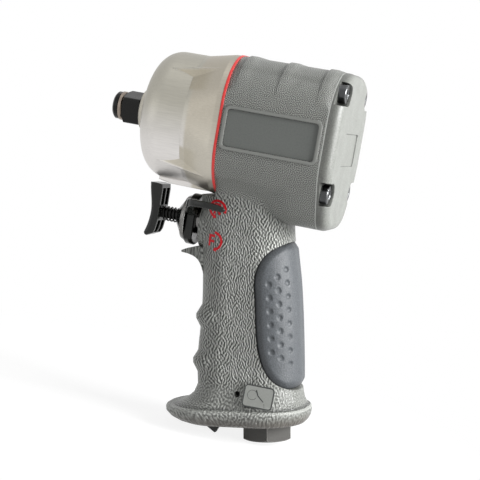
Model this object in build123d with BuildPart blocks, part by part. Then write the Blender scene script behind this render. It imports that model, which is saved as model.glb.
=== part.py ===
"""Air impact wrench, compact pistol type, as separate pieces in one shared frame.

X runs along the spindle from the square drive to the rear cover, Z is up, Y is across.
The origin is the seat of the square drive, on the spindle axis. Lengths are in mm.
"""
import math
import os

from build123d import *

os.makedirs("parts", exist_ok=True)

# Square drive and anvil
DRIVE = 12.7
DRIVE_LEN = 14.0
DRIVE_TURN = 19.0
JOURNAL_R = 8.6
FIT = 0.05
BUSH_R = 11.2
LIP_R = 10.2

# Barrel section, a square with large round corners; case, motor and hammers follow its half width
BARREL_H = 32.5
FLAT_HALF = 8.5
BARREL_C = BARREL_H - FLAT_HALF
BARREL_WALL = 6.1
BARREL_BORE = BARREL_H - BARREL_WALL
KEEL_H = BARREL_H - 8.5
KEEL_LOW = -BARREL_H - 7.5
KEEL_C = KEEL_H - 8.0
GASKET = 1.2

# Hammer case, stepped in from the barrel
CASE_FRONT = 6.6
CASE_STEP = 2.3
CASE_R = BARREL_H - CASE_STEP
CASE_WALL = 4.0
CASE_BORE = CASE_R - CASE_WALL
SHOULDER_R = 11.0
RIB_HALF = 5.0
WEDGE_START = 17.6
FLARE_START = 29.5
CASE_REAR = 47.0
HOUSE_FRONT = CASE_REAR + GASKET
HOUSE_REAR = 95.7
REAR_GASKET = 0.5
COVER_FRONT = HOUSE_REAR + REAR_GASKET
COVER_REAR = 101.9
COVER_ROUND = 4.2
RIDGE_X = (50.6, 69.6, 88.5)
RIDGE_LEN = 7.1
RIDGE_UP = 0.7

# Long screws that hold the cover, housing and case together
SCREW_IN = 9.9
SCREW_AT = BARREL_H - SCREW_IN
SCREW_R = 2.5
SCREW_HEAD_R = 4.25
SCREW_HEAD_H = 3.6
SCREW_SEAT = 97.3
SCREW_END = 41.0
POCKET_R = 5.3

# Handle axis, leaning back from the barrel's upright
RAKE = 10.75
HANDLE_X = 53.0
SIN_R = math.sin(math.radians(RAKE))
COS_R = math.cos(math.radians(RAKE))
BASE_LOW = 137.8

# Trigger line
ROD_Z = -46.9
ROD_R = 2.4
ROD_END = 67.4
TRIGGER_HALF = 6.3
TRIGGER_REAR = 18.0
VALVE_R = 6.5
LEVER_FRONT = 32.3
LEVER_REAR = 36.7
LEVER_R = 12.2
LEVER_FLAT = 8.4
NOSE_FRONT = 26.8
BOSS_FRONT = 40.2
BOSS_R = 12.6

# Inlet
INLET_T = 7.7
INLET_AF = 22.2
INLET_LOW = 146.4
INLET_BORE = 5.7
SEAT_S = 74.0

# Air motor
CYL_FRONT = 55.8
CYL_REAR = 87.2
CYL_GAP = 0.2
CYL_R = BARREL_BORE - CYL_GAP
CYL_WALL = 5.6
CYL_BORE = CYL_R - CYL_WALL
ROTOR_GAP = 2.4
ROTOR_R = CYL_BORE - ROTOR_GAP
CYL_OFF = 0.3 - ROTOR_GAP
VANES = 6

# Hammers
CAGE_GAP = 1.4
CAGE_R = CASE_BORE - CAGE_GAP
PIN_IN = 5.4
PIN_Y = CAGE_R - PIN_IN
PIN_R = 3.0
PIN_NOTCH = 5.2
HAMMER_OUT = PIN_Y - 1.0
HAMMER_THICK = 5.2
HAMMER_IN = HAMMER_OUT - HAMMER_THICK


def across(x):
    """Plane square to the spindle at x, local x along Y and local y along Z."""
    return Plane(origin=(x, 0, 0), x_dir=(0, 1, 0), z_dir=(1, 0, 0))


def down(s, t=0.0, y=0.0):
    """Plane square to the handle axis, s along it and t rearward, local x rearward."""
    origin = (HANDLE_X + s * SIN_R + t * COS_R, y, -s * COS_R + t * SIN_R)
    return Plane(origin=origin, x_dir=(COS_R, 0, SIN_R), z_dir=(SIN_R, 0, -COS_R))


def on_side(s, t):
    """Point of the handle's middle plane as X and Z."""
    return (HANDLE_X + s * SIN_R + t * COS_R, -s * COS_R + t * SIN_R)


def finish(part, name):
    """Label a piece and write it out."""
    part.label = name
    export_step(part, "parts/" + name + ".step")


SCREWS = [(SCREW_AT, SCREW_AT), (-SCREW_AT, SCREW_AT), (-SCREW_AT, -SCREW_AT), (SCREW_AT, -SCREW_AT)]

# Outlines of the barrel, a round square above and a keel below that deepens to the rear
OUTLINES = []
MID_C = FLAT_HALF
for half, low, corner in ((BARREL_H - 1.1, -BARREL_H - 0.1, BARREL_C - 0.8), (KEEL_H, KEEL_LOW, KEEL_C)):
    k = half - corner
    z = low + corner
    lean = math.atan2(z + MID_C, k - MID_C) + math.acos((BARREL_C - corner) / math.hypot(k - MID_C, z + MID_C))
    u = math.cos(lean)
    v = math.sin(lean)
    with BuildSketch() as outline:
        with BuildLine():
            Line((0, BARREL_H), (MID_C, BARREL_H))
            RadiusArc((MID_C, BARREL_H), (BARREL_H, MID_C), BARREL_C)
            Line((BARREL_H, MID_C), (BARREL_H, -MID_C))
            RadiusArc((BARREL_H, -MID_C), (MID_C + BARREL_C * u, -MID_C + BARREL_C * v), BARREL_C)
            Line((MID_C + BARREL_C * u, -MID_C + BARREL_C * v), (k + corner * u, z + corner * v))
            RadiusArc((k + corner * u, z + corner * v), (k, low), corner)
            Line((k, low), (0, low))
            mirror(about=Plane.YZ)
        make_face()
    OUTLINES.append(outline.sketch)

# Hammer case, a turned dome that flares into the square rear flange
with BuildPart() as hammer_case:
    with BuildSketch(Plane.XZ):
        with BuildLine():
            Line((CASE_FRONT, BUSH_R), (CASE_FRONT, CASE_R - SHOULDER_R))
            RadiusArc((CASE_FRONT, CASE_R - SHOULDER_R), (CASE_FRONT + SHOULDER_R, CASE_R), SHOULDER_R)
            Line((CASE_FRONT + SHOULDER_R, CASE_R), (CASE_REAR, CASE_R))
            Line((CASE_REAR, CASE_R), (CASE_REAR, BUSH_R))
            Line((CASE_REAR, BUSH_R), (CASE_FRONT, BUSH_R))
        make_face()
    revolve(axis=Axis.X)
    with BuildSketch(across(FLARE_START)):
        RectangleRounded(2 * CASE_R, 2 * CASE_R, CASE_R - 0.4)
    with BuildSketch(across(CASE_REAR - 2.5)):
        RectangleRounded(2 * BARREL_H, 2 * BARREL_H, BARREL_C)
    loft()
    with BuildSketch(across(CASE_REAR - 2.5)):
        RectangleRounded(2 * BARREL_H, 2 * BARREL_H, BARREL_C)
    extrude(amount=2.5)
    for turn in (45, 135, 225, 315):
        c = math.cos(math.radians(turn))
        s = math.sin(math.radians(turn))
        with BuildSketch(Plane(origin=(WEDGE_START, 0, 0), x_dir=(0, c, s), z_dir=(1, 0, 0))):
            Polygon((CASE_R, 0), (CASE_R - 3, 1.2), (CASE_R - 3, -1.2), align=None)
        with BuildSketch(Plane(origin=(CASE_REAR - 4, 0, 0), x_dir=(0, c, s), z_dir=(1, 0, 0))):
            Polygon((CASE_R + 5.2, 0), (CASE_R - 3, 15.0), (CASE_R - 3, -15.0), align=None)
        loft(ruled=True)
    with BuildSketch(Plane.XZ):
        Polygon((15.0, -CASE_R + 2), (15.0, -CASE_R - 0.8), (21.0, -BARREL_H + 0.3), (CASE_REAR, -BARREL_H + 0.1),
                (CASE_REAR, -CASE_R + 2), align=None)
    extrude(amount=RIB_HALF, both=True)
    with BuildSketch(Plane.XZ):
        with BuildLine():
            Polyline((17.4, 0), (17.4, 16.0), (12.4, 16.0), (12.4, 19.0), (17.6, CASE_BORE),
                     (CASE_REAR, CASE_BORE), (CASE_REAR, 0), close=True)
        make_face()
    revolve(axis=Axis.X, mode=Mode.SUBTRACT)
    with BuildSketch(across(CASE_REAR)):
        with Locations(*SCREWS):
            Circle(SCREW_R - 0.4)
    extrude(amount=-(CASE_REAR - SCREW_END + 1.0), mode=Mode.SUBTRACT)
finish(hammer_case.part, "hammer_case")

# Bushing that carries the anvil in the nose, with a thin lip in front
with BuildPart() as anvil_bushing:
    with BuildSketch(Plane.XZ):
        with BuildLine():
            Polyline((0.9, JOURNAL_R + FIT), (0.9, LIP_R - 0.5), (1.4, LIP_R), (CASE_FRONT - 0.2, LIP_R),
                     (CASE_FRONT, BUSH_R), (17.4, BUSH_R), (17.4, JOURNAL_R + FIT), close=True)
        make_face()
    revolve(axis=Axis.X)
finish(anvil_bushing.part, "anvil_bushing")

# Anvil with the square drive, journal, two striking jaws and a rear pilot
with BuildPart() as anvil:
    with BuildSketch(across(0)):
        RectangleRounded(DRIVE, DRIVE, 1.2, rotation=DRIVE_TURN)
    extrude(amount=-DRIVE_LEN)
    with BuildSketch(Plane.XZ):
        with BuildLine():
            Polyline((-DRIVE_LEN - 1, 0), (-DRIVE_LEN, 0), (-DRIVE_LEN, 5.5), (-DRIVE_LEN + 0.9, 6.5),
                     (-DRIVE_LEN + 4.9, 6.6), (-DRIVE_LEN + 6.4, 9.2), (-DRIVE_LEN + 6.4, 12), (-DRIVE_LEN - 1, 12), close=True)
        make_face()
    revolve(axis=Axis.X, mode=Mode.SUBTRACT)
    with BuildSketch(Plane.XZ):
        with BuildLine():
            Polyline((-DRIVE_LEN + 2.6, 5.2), (-DRIVE_LEN + 2.6, 11), (-DRIVE_LEN + 4.9, 11),
                     (-DRIVE_LEN + 4.9, 5.2), close=True)
        make_face()
    revolve(axis=Axis.X, mode=Mode.SUBTRACT)
    with BuildSketch(Plane.XZ):
        with BuildLine():
            Polyline((-0.1, 0), (-0.1, JOURNAL_R - 0.9), (0.8, JOURNAL_R), (18.2, JOURNAL_R), (18.2, 8.0),
                     (42.6, 8.0), (42.6, 5.0), (45.4, 5.0), (45.4, 0), close=True)
        make_face()
    revolve(axis=Axis.X)
    with BuildSketch(across(21.8)):
        with Locations((0, 7.0)):
            RectangleRounded(8.0, 8.0, 2.0)
    extrude(amount=9.6)
    with BuildSketch(across(32.6)):
        with Locations((0, -7.0)):
            RectangleRounded(8.0, 8.0, 2.0)
    extrude(amount=9.6)
finish(anvil.part, "anvil")

# Split friction ring that holds the socket, and the rubber ring under it
with BuildPart() as socket_ring:
    with BuildSketch(across(-DRIVE_LEN + 2.75)):
        Circle(6.9)
        Circle(5.95, mode=Mode.SUBTRACT)
        with Locations((0, -6.4)):
            Rectangle(1.4, 3.0, mode=Mode.SUBTRACT)
    extrude(amount=2.0)
    chamfer(socket_ring.edges().filter_by(GeomType.CIRCLE).group_by(SortBy.RADIUS)[-1], 0.4)
finish(socket_ring.part, "socket_ring")

with BuildPart() as ring_cushion:
    with BuildSketch(across(-DRIVE_LEN + 2.85)):
        Circle(5.93)
        Circle(5.22, mode=Mode.SUBTRACT)
    extrude(amount=1.8)
finish(ring_cushion.part, "ring_cushion")

# Hammer cage, two discs joined by two bars
with BuildPart() as hammer_cage:
    with BuildSketch(across(18.4)):
        Circle(CAGE_R)
        Circle(JOURNAL_R + 0.6, mode=Mode.SUBTRACT)
        with Locations((PIN_Y, 0), (-PIN_Y, 0)):
            Circle(PIN_R + 0.02, mode=Mode.SUBTRACT)
    extrude(amount=2.8)
    with BuildSketch(across(42.9)):
        Circle(CAGE_R)
        Circle(5.05, mode=Mode.SUBTRACT)
        with Locations((PIN_Y, 0), (-PIN_Y, 0)):
            Circle(PIN_R + 0.02, mode=Mode.SUBTRACT)
    extrude(amount=3.0)
    with BuildSketch(across(21.0)):
        Circle(CAGE_R)
        Circle(CAGE_R - 3.2, mode=Mode.SUBTRACT)
        Rectangle(2.4 * CAGE_R, 1.2 * CAGE_R, mode=Mode.SUBTRACT)
    extrude(amount=22.0)
finish(hammer_cage.part, "hammer_cage")

# Hammer pins, pressed through both discs
with BuildPart() as hammer_pins:
    with BuildSketch(across(18.6)):
        with Locations((PIN_Y, 0), (-PIN_Y, 0)):
            Circle(PIN_R)
    extrude(amount=27.2)
    chamfer(hammer_pins.edges().filter_by(GeomType.CIRCLE), 0.4)
finish(hammer_pins.part, "hammer_pins")

# Two rocking hammers on opposite pins
with BuildPart() as hammer_front:
    with BuildSketch(across(21.6)):
        Circle(HAMMER_OUT)
        with Locations((PIN_Y, 0)):
            Circle(5.2)
        Circle(HAMMER_IN, mode=Mode.SUBTRACT)
        with Locations((-HAMMER_IN, 0)):
            Rectangle(3.6, 6.0)
        with Locations((PIN_Y, 0)):
            Circle(PIN_R + FIT, mode=Mode.SUBTRACT)
        with Locations((-PIN_Y, 0)):
            Circle(PIN_NOTCH, mode=Mode.SUBTRACT)
    extrude(amount=10.0)
finish(hammer_front.part, "hammer_front")

with BuildPart() as hammer_rear:
    with BuildSketch(across(32.4)):
        Circle(HAMMER_OUT)
        with Locations((-PIN_Y, 0)):
            Circle(5.2)
        Circle(HAMMER_IN, mode=Mode.SUBTRACT)
        with Locations((HAMMER_IN, 0)):
            Rectangle(3.6, 6.0)
        with Locations((-PIN_Y, 0)):
            Circle(PIN_R + FIT, mode=Mode.SUBTRACT)
        with Locations((PIN_Y, 0)):
            Circle(PIN_NOTCH, mode=Mode.SUBTRACT)
    extrude(amount=10.0)
finish(hammer_rear.part, "hammer_rear")

# Red gasket between case and housing
with BuildPart() as front_gasket:
    with BuildSketch(across(CASE_REAR)):
        RectangleRounded(2 * BARREL_H + 0.5, 2 * BARREL_H + 0.5, BARREL_C + 0.25)
        Circle(BARREL_BORE + 0.2, mode=Mode.SUBTRACT)
        with Locations(*SCREWS):
            Circle(SCREW_R + 0.3, mode=Mode.SUBTRACT)
    extrude(amount=GASKET)
finish(front_gasket.part, "front_gasket")

# Front end plate with its bearing
with BuildPart() as front_plate:
    with BuildSketch(across(HOUSE_FRONT + 0.4)):
        Circle(CYL_R)
        Circle(14.0, mode=Mode.SUBTRACT)
    extrude(amount=6.0)
    with BuildSketch(across(HOUSE_FRONT + 6.4)):
        Circle(CYL_R)
        Circle(9.0, mode=Mode.SUBTRACT)
    extrude(amount=CYL_FRONT - HOUSE_FRONT - 6.4 - 0.05)
finish(front_plate.part, "front_plate")

with BuildPart() as front_bearing:
    with BuildSketch(across(HOUSE_FRONT + 0.5)):
        Circle(13.98)
        Circle(11.4, mode=Mode.SUBTRACT)
        Circle(8.6)
        Circle(6.02, mode=Mode.SUBTRACT)
    extrude(amount=5.8)
    with BuildSketch(across(HOUSE_FRONT + 1.2)):
        Circle(11.5)
        Circle(8.5, mode=Mode.SUBTRACT)
    extrude(amount=4.4)
finish(front_bearing.part, "front_bearing")

# Motor cylinder with its bore set below the spindle axis
with BuildPart() as motor_cylinder:
    with BuildSketch(across(CYL_FRONT)):
        Circle(CYL_R)
        with Locations((0, CYL_OFF)):
            Circle(CYL_BORE, mode=Mode.SUBTRACT)
    extrude(amount=CYL_REAR - CYL_FRONT)
    with BuildSketch(Plane.XY.offset(-30)):
        with Locations((65.0, 6.0), (78.0, 6.0), (65.0, -6.0), (78.0, -6.0)):
            SlotOverall(10.0, 4.5)
    extrude(amount=12.0, mode=Mode.SUBTRACT)
finish(motor_cylinder.part, "motor_cylinder")

# Rotor with six vane slots and shafts at both ends
with BuildPart() as rotor:
    with BuildSketch(across(CYL_FRONT + 0.3)):
        Circle(ROTOR_R)
        with PolarLocations(ROTOR_R - 3.0, VANES):
            Rectangle(8.4, 2.2, mode=Mode.SUBTRACT)
    extrude(amount=CYL_REAR - CYL_FRONT - 0.6)
    with BuildSketch(across(CYL_FRONT - 9.7)):
        Circle(5.98)
    extrude(amount=10.0)
    with BuildSketch(across(CYL_REAR - 0.3)):
        Circle(4.98)
    extrude(amount=7.1)
finish(rotor.part, "rotor")

with BuildPart() as rotor_vanes:
    with BuildSketch(across(CYL_FRONT + 0.5)):
        with PolarLocations(ROTOR_R - 3.7, VANES):
            Rectangle(6.8, 1.9)
    extrude(amount=CYL_REAR - CYL_FRONT - 1.0)
finish(rotor_vanes.part, "rotor_vanes")

# Rear end plate with its bearing
with BuildPart() as rear_plate:
    with BuildSketch(across(CYL_REAR + 0.05)):
        Circle(CYL_R)
        Circle(7.0, mode=Mode.SUBTRACT)
    extrude(amount=1.5)
    with BuildSketch(across(CYL_REAR + 1.55)):
        Circle(CYL_R)
        Circle(12.0, mode=Mode.SUBTRACT)
    extrude(amount=5.0)
finish(rear_plate.part, "rear_plate")

with BuildPart() as rear_bearing:
    with BuildSketch(across(CYL_REAR + 1.6)):
        Circle(11.98)
        Circle(9.8, mode=Mode.SUBTRACT)
        Circle(7.2)
        Circle(5.02, mode=Mode.SUBTRACT)
    extrude(amount=4.9)
    with BuildSketch(across(CYL_REAR + 2.3)):
        Circle(9.9)
        Circle(7.1, mode=Mode.SUBTRACT)
    extrude(amount=3.5)
finish(rear_bearing.part, "rear_bearing")

# Handle sections: place along the axis, middle, half length, half width and corner radius
HANDLE = [
    (16.0, 1.0, 23.5, 28.4, 20.0),
    (30.0, 0.3, 22.2, 21.6, 17.0),
    (44.0, -0.4, 21.4, 18.3, 15.4),
    (58.0, 0.0, 21.8, 17.4, 15.0),
    (72.0, 0.6, 22.6, 17.1, 15.0),
    (86.0, 0.6, 23.3, 17.0, 15.0),
    (100.0, 0.0, 24.2, 17.2, 15.0),
    (114.0, -0.4, 24.7, 17.6, 15.5),
    (126.0, -0.7, 24.9, 18.0, 16.0),
]
SKIRT = [
    (118.0, -0.4, 23.6, 16.6, 14.6),
    (122.0, -0.6, 25.2, 18.3, 16.3),
    (124.5, -1.0, 25.9, 18.8, 16.7),
    (127.2, -2.4, 27.8, 19.5, 17.2),
    (129.4, -4.2, 30.6, 20.6, 18.0),
    (131.0, -5.6, 33.0, 21.8, 19.0),
]
FOOT = [
    (130.2, -6.1, 34.0, 23.8, 21.6),
    (130.9, -6.1, 34.5, 24.4, 22.2),
    (132.8, -6.0, 34.5, 24.5, 22.3),
    (135.0, -5.2, 33.2, 24.0, 21.8),
    (136.8, -4.0, 31.0, 22.8, 20.6),
    (BASE_LOW, -2.8, 28.8, 21.4, 19.2),
]
GRIP_OUT = 0.6
GRIP_IN = 2.2
RIBS = ((87.7, -26.6), (108.7, -28.4))

# Rubber grip let into the back and sides of the handle
with BuildPart() as rubber_grip:
    for s, t, a, b, r in HANDLE:
        with BuildSketch(down(s, t)):
            RectangleRounded(2 * (a + GRIP_OUT), 2 * (b + GRIP_OUT), r + GRIP_OUT)
    loft()
    with BuildSketch(Plane.XZ):
        with BuildLine():
            Spline((90.0, -45.5), (79.5, -51.2), (73.8, -58.2), (72.2, -66.0), (74.4, -78.0), (77.0, -90.3),
                   (79.6, -99.0), (83.4, -106.6), (89.0, -112.3), (96.8, -115.1), (106.0, -114.4))
            Polyline((106.0, -114.4), (125.0, -108.0), (125.0, -45.5), (90.0, -45.5))
        make_face()
    extrude(amount=40, both=True, mode=Mode.INTERSECT)
with BuildPart() as grip_core:
    for s, t, a, b, r in HANDLE:
        with BuildSketch(down(s, t)):
            RectangleRounded(2 * (a - GRIP_IN), 2 * (b - GRIP_IN), r - GRIP_IN)
    loft()
with rubber_grip:
    add(grip_core.part, mode=Mode.SUBTRACT)
finish(rubber_grip.part, "rubber_grip")

# Housing, barrel and handle in one moulding
with BuildPart() as motor_housing:
    with BuildSketch(across(HOUSE_FRONT)):
        RectangleRounded(2 * BARREL_H, 2 * BARREL_H, BARREL_C)
    extrude(amount=HOUSE_REAR - HOUSE_FRONT)
    with BuildSketch(across(52.0)):
        add(OUTLINES[0])
    with BuildSketch(across(82.0)):
        add(OUTLINES[1])
    loft()
    with BuildSketch(across(82.0)):
        add(OUTLINES[1])
    extrude(amount=HOUSE_REAR - 82.0)
    for s, t, a, b, r in HANDLE:
        with BuildSketch(down(s, t)):
            RectangleRounded(2 * a, 2 * b, r)
    loft()
    for s, tip in RIBS:
        with BuildSketch(down(s - 7.5, tip / 2 + 3.4)):
            RectangleRounded(-tip - 6.0, 2 * 14.0, 8.0)
        with BuildSketch(down(s - 0.8, tip / 2 + 1.0)):
            RectangleRounded(-tip - 2.0, 2 * 16.6, 11.0)
        with BuildSketch(down(s + 1.2, tip / 2 + 1.0)):
            RectangleRounded(-tip - 2.0, 2 * 16.6, 11.0)
        with BuildSketch(down(s + 9.0, tip / 2 + 3.0)):
            RectangleRounded(-tip - 6.0, 2 * 14.0, 8.0)
        loft(ruled=True)
    for s, t, a, b, r in SKIRT:
        with BuildSketch(down(s, t)):
            RectangleRounded(2 * a, 2 * b, r)
    loft(ruled=True)
    for s, t, a, b, r in FOOT:
        with BuildSketch(down(s, t)):
            RectangleRounded(2 * a, 2 * b, r)
    loft(ruled=True)
    with BuildSketch(Plane.XZ):
        with BuildLine():
            Spline((40.6, -58.4), (37.0, -59.7), (34.5, -60.9), (33.5, -61.5))
            ThreePointArc((33.5, -61.5), (33.2, -62.2), (33.9, -62.6))
            Spline((33.9, -62.6), (37.7, -62.9), (41.4, -64.3), (43.8, -67.0), (45.6, -70.6))
            Polyline((45.6, -70.6), (50.0, -72.0), (50.0, -58.4), (40.6, -58.4))
        make_face()
    extrude(amount=9.0, both=True)
    with BuildSketch(Plane(origin=(0, 0, ROD_Z), x_dir=(1, 0, 0), z_dir=(0, -1, 0))):
        Polygon((BOSS_FRONT, 0), (BOSS_FRONT, BOSS_R), (52.0, BOSS_R + 3.4), (52.0, 0), align=None)
    revolve(axis=Axis((0, 0, ROD_Z), (1, 0, 0)))
    for x in RIDGE_X:
        for along, up in ((0, -0.1), (0.9, RIDGE_UP), (0.55 * RIDGE_LEN, RIDGE_UP), (RIDGE_LEN, -0.1)):
            with BuildSketch(across(x + along)):
                with Locations((0, up)):
                    RectangleRounded(2 * BARREL_H - 0.4, 2 * BARREL_H, BARREL_C)
        loft(ruled=True)
    with BuildSketch(Plane.XZ.offset(BARREL_H - 2.0)):
        with Locations((71.8, -0.7)):
            RectangleRounded(45.4, 20.0, 3.0)
    extrude(amount=2.5)
    with BuildSketch(Plane.XZ.offset(-BARREL_H - 0.5)):
        with Locations((71.8, -0.7)):
            RectangleRounded(45.4, 20.0, 3.0)
    extrude(amount=2.5)
    with BuildSketch(Plane.XZ.offset(BARREL_H - 0.3)):
        with Locations((71.8, -0.7)):
            RectangleRounded(42.2, 16.9, 1.6)
    extrude(amount=4.0, mode=Mode.SUBTRACT)
    with BuildSketch(Plane.XZ.offset(-BARREL_H - 3.7)):
        with Locations((71.8, -0.7)):
            RectangleRounded(42.2, 16.9, 1.6)
    extrude(amount=4.0, mode=Mode.SUBTRACT)
    plate_plane = Plane(origin=(84.4, -19.2, -120.0), x_dir=(0.99, 0.14, 0), z_dir=(0.135, -0.962, 0.238))
    with BuildSketch(plate_plane):
        RectangleRounded(14.2, 10.6, 1.2)
    extrude(amount=-4.0)
    with BuildSketch(Plane.XZ.offset(12.0)):
        with Locations((74.2, -121.0)):
            Circle(1.4)
    extrude(amount=14.0, mode=Mode.SUBTRACT)
    with BuildSketch(across(HOUSE_FRONT - 1)):
        Circle(BARREL_BORE)
    extrude(amount=HOUSE_REAR - HOUSE_FRONT + 2, mode=Mode.SUBTRACT)
    with BuildSketch(across(HOUSE_FRONT - 1)):
        with Locations(*SCREWS):
            Circle(SCREW_R + 0.3)
    extrude(amount=HOUSE_REAR - HOUSE_FRONT + 2, mode=Mode.SUBTRACT)
    with BuildSketch(across(20.0)):
        Rectangle(120.0, 140.0, align=(Align.CENTER, Align.CENTER))
        with Locations((0, -55.0)):
            Rectangle(120.0, 43.2, mode=Mode.SUBTRACT)
        with Locations((0, -100.0)):
            Rectangle(120.0, 60.0, mode=Mode.SUBTRACT)
    extrude(amount=HOUSE_FRONT - 20.0, mode=Mode.SUBTRACT)
    with BuildSketch(across(36.0)):
        with Locations((0, ROD_Z)):
            Circle(8.4)
    extrude(amount=26.0, mode=Mode.SUBTRACT)
    with BuildSketch(across(BOSS_FRONT)):
        with Locations((0, ROD_Z + 1.0)):
            Rectangle(60.0, 25.0)
    extrude(amount=-10.0, mode=Mode.SUBTRACT)
    with BuildSketch(across(60.0)):
        with Locations((0, ROD_Z)):
            Circle(ROD_R + 0.3)
    extrude(amount=10.0, mode=Mode.SUBTRACT)
    with BuildSketch(down(43.0, INLET_T)):
        Circle(8.6)
    extrude(amount=SEAT_S + 3.0 - 43.0, mode=Mode.SUBTRACT)
    with BuildSketch(down(SEAT_S, INLET_T)):
        Circle(7.6)
    extrude(amount=118.0 - SEAT_S, mode=Mode.SUBTRACT)
    with BuildSketch(down(116.0, INLET_T)):
        Circle(9.6)
    extrude(amount=24.0, mode=Mode.SUBTRACT)
    with BuildSketch(down(61.0, -12.5)):
        RectangleRounded(10.0, 18.0, 4.0)
    extrude(amount=80.0, mode=Mode.SUBTRACT)
    with BuildSketch(down(134.2, -13.6)):
        RectangleRounded(15.0, 26.0, 5.0)
    extrude(amount=6.0, mode=Mode.SUBTRACT)
    with BuildSketch(Plane.XY.offset(-40.0)):
        with Locations((48.0, 0), (56.0, 0)):
            SlotOverall(6.0, 3.4)
    extrude(amount=16.0, mode=Mode.SUBTRACT)
    add(rubber_grip.part, mode=Mode.SUBTRACT)
finish(motor_housing.part, "motor_housing")

# Thin gasket under the rear cover
with BuildPart() as rear_gasket:
    with BuildSketch(across(HOUSE_REAR)):
        add(OUTLINES[1])
        Circle(BARREL_BORE, mode=Mode.SUBTRACT)
        with Locations(*SCREWS):
            Circle(SCREW_R + 0.3, mode=Mode.SUBTRACT)
    extrude(amount=REAR_GASKET)
finish(rear_gasket.part, "rear_gasket")

# Rear cover with four open corner pockets for the screw heads
with BuildPart() as rear_cover:
    with BuildSketch(across(COVER_FRONT)):
        add(OUTLINES[1])
    extrude(amount=COVER_REAR - COVER_FRONT)
    fillet(rear_cover.faces().sort_by(Axis.X)[-1].edges(), COVER_ROUND)
    with BuildSketch(across(COVER_FRONT)):
        Circle(BARREL_BORE - 1.4)
    extrude(amount=-2.2)
    with BuildSketch(across(SCREW_SEAT)):
        with Locations(*SCREWS):
            Circle(POCKET_R)
        for y, z in SCREWS:
            with Locations((y * 1.27, z)):
                Rectangle(12.2, 2 * POCKET_R)
    extrude(amount=10.0, mode=Mode.SUBTRACT)
    with BuildSketch(across(COVER_FRONT - 4)):
        with Locations(*SCREWS):
            Circle(SCREW_R + 0.3)
        Circle(13.0)
    extrude(amount=5.0, mode=Mode.SUBTRACT)
    with BuildSketch(across(COVER_FRONT - 4)):
        with Locations(*SCREWS):
            Circle(SCREW_R + 0.3)
    extrude(amount=12.0, mode=Mode.SUBTRACT)
    with BuildSketch(across(COVER_REAR - 0.5)):
        with Locations((0, -2.0)):
            RectangleRounded(30.0, 15.0, 1.5)
    extrude(amount=2.0, mode=Mode.SUBTRACT)
finish(rear_cover.part, "rear_cover")

# Four long socket head screws through cover and housing into the case
with BuildPart() as cover_screws:
    with BuildSketch(across(SCREW_END)):
        with Locations(*SCREWS):
            Circle(SCREW_R - 0.42)
    extrude(amount=CASE_REAR - SCREW_END)
    with BuildSketch(across(CASE_REAR)):
        with Locations(*SCREWS):
            Circle(SCREW_R)
    extrude(amount=SCREW_SEAT - CASE_REAR)
    with BuildSketch(across(SCREW_SEAT)):
        with Locations(*SCREWS):
            Circle(SCREW_HEAD_R)
    extrude(amount=SCREW_HEAD_H)
    with BuildSketch(across(SCREW_SEAT + SCREW_HEAD_H - 2.4)):
        with Locations(*SCREWS):
            RegularPolygon(2.3, 6)
    extrude(amount=3.0, mode=Mode.SUBTRACT)
finish(cover_screws.part, "cover_screws")

# Trigger paddle, hollowed from behind on both sides of a middle rib
with BuildPart() as trigger:
    with BuildSketch(Plane.XZ):
        with BuildLine():
            Spline((11.3, -33.0), (12.4, -39.0), (13.6, -45.4), (13.5, -50.0), (12.7, -54.4), (11.9, -57.0))
            ThreePointArc((11.9, -57.0), (12.3, -58.3), (13.7, -58.5))
            Polyline((13.7, -58.5), (16.6, -57.0), (17.4, -55.0), (TRIGGER_REAR, -50.6), (TRIGGER_REAR, -35.6),
                     (17.6, -33.2), (14.6, -32.8), (11.3, -33.0))
        make_face()
    extrude(amount=TRIGGER_HALF, both=True)
    front_edges = trigger.faces().filter_by(Axis.Y).edges().filter_by(GeomType.BSPLINE)
    fillet(front_edges, 1.6)
    for side in (0.6, -TRIGGER_HALF + 1.2):
        with BuildSketch(Plane.XZ.offset(-side - TRIGGER_HALF + 1.8)):
            with BuildLine():
                Polyline((14.6, -35.0), (30.0, -35.0), (30.0, -43.2), (16.0, -43.2), close=True)
            make_face()
            with BuildLine():
                Polyline((16.2, -50.6), (30.0, -50.6), (30.0, -56.6), (15.0, -56.6), close=True)
            make_face()
        extrude(amount=TRIGGER_HALF - 1.8, mode=Mode.SUBTRACT)
    with BuildSketch(across(15.0)):
        with Locations((0, ROD_Z)):
            Circle(ROD_R)
    extrude(amount=10.0, mode=Mode.SUBTRACT)
finish(trigger.part, "trigger")

# Trigger rod that pushes the throttle valve's stem
with BuildPart() as trigger_rod:
    with BuildSketch(across(15.0)):
        with Locations((0, ROD_Z)):
            Circle(ROD_R)
    extrude(amount=ROD_END - 15.0)
    chamfer(trigger_rod.faces().sort_by(Axis.X)[-1].edges(), 1.0)
finish(trigger_rod.part, "trigger_rod")

# Return spring round the rod
with BuildPart() as trigger_spring:
    with BuildLine() as coil:
        Helix(pitch=1.7, height=10.2, radius=3.2, center=(TRIGGER_REAR + 0.5, 0, ROD_Z), direction=(1, 0, 0))
    with BuildSketch(Plane(origin=coil.line @ 0, z_dir=coil.line % 0)):
        RegularPolygon(0.42, 6)
    sweep()
finish(trigger_spring.part, "trigger_spring")

# Black nose in front of the reverse valve, with the spring's seat in it
with BuildPart() as valve_nose:
    with BuildSketch(Plane(origin=(0, 0, ROD_Z), x_dir=(1, 0, 0), z_dir=(0, -1, 0))):
        with BuildLine():
            Polyline((NOSE_FRONT, 4.1), (NOSE_FRONT, 4.8), (30.2, 10.0), (30.2, ROD_R + 0.1), (29.4, ROD_R + 0.1),
                     (29.4, 4.1), close=True)
        make_face()
    revolve(axis=Axis((0, 0, ROD_Z), (1, 0, 0)))
finish(valve_nose.part, "valve_nose")

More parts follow.
